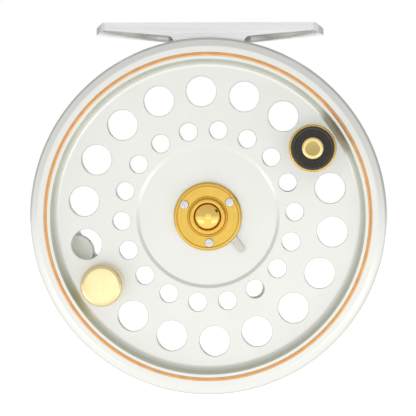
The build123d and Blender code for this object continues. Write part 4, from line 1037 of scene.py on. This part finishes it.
def make_handle_knob():
    """Waisted black handle with a rounded rim round a sunk, finely turned front face."""
    low, high = node_box("handle_knob")
    radius, back, front = (high.x - low.x) / 2, high.y, low.y
    waist, middle = 5.1, 0.45
    barrel = []
    for k in range(1, 24):
        along = k / 24
        bow = (along - middle) / (middle if along < middle else 1 - middle)
        barrel.append((waist + (radius - waist) * bow * bow, back - 0.6 - (back - front - 1.3) * along))
    rings = []
    for k in range(4):
        at = 4.3 - 0.3 * k
        rings += [(at, front + 0.6), (at - 0.06, front + 0.68), (at - 0.12, front + 0.6)]
    outline = [(2.05, back), (radius, back, 0.6)] + barrel
    outline += [(radius, front + 0.1, 0.55), (5.15, front, 0.4), (4.45, front + 0.6, 0.25)] + rings
    outline += [(3.1, front + 0.6, 0.05), (3.1, front + 1.6), (2.05, front + 1.6)]
    finish_piece(lathe("knob", outline, HANDLE), "black", "handle", "handle_knob")


def make_counterweight():
    """Polished plug opposite the handle, necked at its foot, with a full round-over on top."""
    low, high = node_box("counterweight")
    radius, top, base = (high.x - low.x) / 2, low.y, high.y
    neck = radius - 0.2
    outline = [(0, base), (neck, base), (neck, base - 0.9, 0.05), (radius, base - 1.15, 0.12),
               (radius, top, 1.15), (0, top)]
    weight = lathe("weight", outline, WEIGHT)
    finish_piece(weight, "gold_weight", "spool", "counterweight", 50)


def make_counterweight_rivet():
    """Rivet that holds the counterweight, closed flush behind the face."""
    low, high = node_box("counterweight_rivet")
    outline = [(0, low.y), (1.6, low.y, 0.1), (1.6, high.y, 0.2), (0, high.y)]
    rivet = lathe("rivet", outline, WEIGHT, SMALL)
    finish_piece(rivet, "steel", "spool", "counterweight_rivet")


# --- Click check ---------------------------------------------------------------------------------

STRIP_INNER, STRIP_OUTER = 28.9, 31.4
FINGER_ANGLE, FINGER_INNER, FINGER_OUTER = -156.4, 36.5, 38.2
STRIP_MIDDLE = (STRIP_INNER + STRIP_OUTER) / 2
SHAFT_RADIUS = 1.4
DRAG_ANGLE = angle_of(DRAG)
DRAG_RING = apart(DRAG)
GUIDE_ANGLES = (-136.9, -96.9)


def riveted_post(node, place, head, neck, shoulder):
    """Post riveted through the back plate: a headed pin that stands on a shoulder, given by its
    radius and height."""
    low, high = node_box(node)
    wide, step = shoulder[0], PLATE_FRONT - shoulder[1]
    outline = [(0, low.y), (head, low.y, 0.15), (head, step), (wide, step, 0.1), (wide, PLATE_FRONT),
               (neck, PLATE_FRONT), (neck, PLATE_WEB), (1.5, PLATE_WEB), (1.5, high.y, 0.4), (0, high.y)]
    finish_piece(lathe("post", outline, place, SMALL), "steel", "frame", node)


def make_click_pawl():
    """Spring-loaded pawl: an eye on the post, an arm and a nib between two teeth."""
    low, high = node_box("click_pawl")
    front, back = low.y, high.y
    end = polar(PAWL_REACH, GAP_ANGLE)
    heading = angle_of(end, PAWL_POST)
    length = apart(end, PAWL_POST)
    pawl = disc("eye", PAWL_POST, 1.75, front, back)
    boolean(pawl, disc("end", end, 1.0, front, back), "UNION")
    boolean(pawl, prism("arm", bar(PAWL_POST, heading, length, 1.3), front, back), "UNION")
    nib = [polar(radius, GAP_ANGLE + turn)
           for radius, turn in ((18.8, -2.7), (16.5, -0.87), (16.5, 0.87), (18.8, 2.7))]
    boolean(pawl, prism("nib", nib, front, back), "UNION")
    carve(pawl, [disc("bore", PAWL_POST, 1.15, front - 1, back + 1)])
    finish_piece(soften(pawl, 0.1, 2), "steel", "pawl", "click_pawl")


def make_click_spring():
    """Two close coils round the stud, one leg on the pawl and one towards the regulator."""
    low, high = node_box("click_spring")
    gauge = (high.y - low.y) / 4
    radius = 1.6
    knees = [polar(20.47, GAP_ANGLE - 1), polar(20.0, -44), polar(24.15, -49.6)]
    coils = [polar(radius, 15 * k, SPRING_STUD) for k in range(48)]
    flat = knees + coils + [polar(apart(SPRING_STUD) - 0.4, angle_of(SPRING_STUD) - 6.6)]
    rise = high.y - low.y - 2 * gauge
    path = [(x, low.y + gauge + rise * k / (len(flat) - 1), z) for k, (x, z) in enumerate(flat)]
    finish_piece(wire("spring", path, gauge), "steel", "frame", "click_spring")


def make_regulator_strip():
    """Curved sliding strip with two slots for its guides and a forked lug at the knob's crank."""
    low, high = node_box("regulator_strip")
    front, back = low.y, high.y
    start, span = -157.6, 88.1
    outer = arc(SPINDLE, STRIP_OUTER, start, span, 72)
    inner = arc(SPINDLE, STRIP_INNER, start + span, -span, 72)
    strip = prism("strip", outer + inner, front, back)
    finger = bar(polar(STRIP_OUTER - 1, FINGER_ANGLE), FINGER_ANGLE, FINGER_OUTER - STRIP_OUTER + 1, 2.2)
    boolean(strip, prism("finger", finger, front, back), "UNION")
    reach = DRAG_ANGLE - 3.3 - FINGER_ANGLE
    along = arc(SPINDLE, FINGER_OUTER, FINGER_ANGLE, reach, 16)
    along += arc(SPINDLE, FINGER_INNER, FINGER_ANGLE + reach, -reach, 16)
    boolean(strip, prism("along", along, front, back), "UNION")
    fork = bar(polar(35.4, DRAG_ANGLE), DRAG_ANGLE, 2.0, 4.3)
    boolean(strip, prism("fork", fork, front, back), "UNION")
    slots = [prism("gap", bar(polar(36.0, DRAG_ANGLE), DRAG_ANGLE, 4, 1.9), front - 1, back + 1)]
    for angle in GUIDE_ANGLES:
        reach, half = 3.95, 0.65
        near = arc(SPINDLE, STRIP_MIDDLE - half, angle - reach, 2 * reach, 16)
        end = arc(polar(STRIP_MIDDLE, angle + reach), half, angle + reach + 180, -180, 12)
        far = arc(SPINDLE, STRIP_MIDDLE + half, angle + reach, -2 * reach, 16)
        start = arc(polar(STRIP_MIDDLE, angle - reach), half, angle - reach, -180, 12)
        slots.append(prism("slot", near + end[1:-1] + far + start[1:-1], front - 1, back + 1))
    carve(strip, slots)
    finish_piece(soften(strip, 0.08, 2, 40), "steel", "regulator", "regulator_strip")


def make_strip_guides():
    """Headed pins that the strip slides on."""
    low, high = node_box("strip_guides")
    outline = [(0, low.y), (1.1, low.y, 0.12), (1.1, low.y + 0.5), (0.5, low.y + 0.5), (0.5, PLATE_WEB),
               (1.0, PLATE_WEB), (1.0, high.y, 0.3), (0, high.y)]
    guides = [lathe("guide", outline, polar(STRIP_MIDDLE, angle), SMALL) for angle in GUIDE_ANGLES]
    finish_piece(combine("guides", guides), "steel", "frame", "strip_guides")


def make_drag_shaft():
    """Crank disc in front of its pad, with a pin and a shaft through the plate."""
    low, high = node_box("drag_shaft")
    disc_back = low.y + 0.9
    outline = [(0, low.y), (4.8, low.y, 0.15), (4.8, disc_back, 0.15), (SHAFT_RADIUS, disc_back),
               (SHAFT_RADIUS, high.y), (0, high.y)]
    shaft = lathe("shaft", outline, DRAG)
    pin = [(0, low.y + 0.4), (0.6, low.y + 0.4), (0.6, disc_back + 1.0, 0.1), (0, disc_back + 1.0)]
    boolean(shaft, lathe("pin", pin, polar(DRAG_RING - 3.4, DRAG_ANGLE), SMALL), "UNION")
    # The crank disc's pearl is painted lighter, as painted light
    finish_piece(shaft, "pearl_painted_lit", "drag", "drag_shaft")


def make_drag_knob():
    """Fluted regulator knob with a softly crowned end."""
    low, high = node_box("drag_knob")
    back, top, radius = low.y, high.y, 4.1
    shaft_end = top - 0.8
    outline = [(SHAFT_RADIUS, back), (radius, back, 0.3), (radius, top, 0.9), (2.9, top, 0.2),
               (2.6, top - 0.2, 0.1), (0, top - 0.2), (0, shaft_end), (SHAFT_RADIUS, shaft_end)]
    knob = lathe("knob", outline, DRAG)
    carve(knob, [disc("flute", polar(radius + 0.2, 15 * k, DRAG), 0.42, back + 0.9, top + 1, 24)
                 for k in range(24)])
    finish_piece(knob, "gold_drag", "drag", "drag_knob")


def build_reel():
    """Make every piece of the reel."""
    make_back_plate()
    make_front_ring()
    make_pillars()
    make_foot_bridge()
    make_frame_screws()
    make_foot()
    make_foot_screws()
    make_spindle()
    make_spindle_nut()
    make_spool_face()
    make_rim_inlay()
    make_spool_drum()
    make_rear_flange()
    make_bushes()
    make_click_gear()
    make_gear_screws()
    make_latch_cover()
    make_cover_screws()
    make_latch_pivot()
    make_latch_lever()
    make_latch_spring()
    make_handle_plate()
    make_handle_post()
    make_handle_knob()
    make_counterweight()
    make_counterweight_rivet()
    riveted_post("pawl_post", PAWL_POST, 1.1, 0.9, (1.75, 1.3))
    riveted_post("spring_stud", SPRING_STUD, 1.3, 0.9, (1.5, 0.6))
    make_click_pawl()
    make_click_spring()
    make_regulator_strip()
    make_strip_guides()
    make_drag_shaft()
    make_drag_knob()


SCENE.view_settings.view_transform = "Standard"
add_camera()
add_world()
add_softbox("left_box", (-0.22, -0.24, -0.235), (0.28, 0.18), 0.14)
add_softbox("right_box", (0.22, -0.24, -0.235), (0.28, 0.18), 0.12)
add_softbox("front_box", (0.03, -0.70, -0.06), (0.3, 0.3), 0.09)
add_floor()
build_reel()
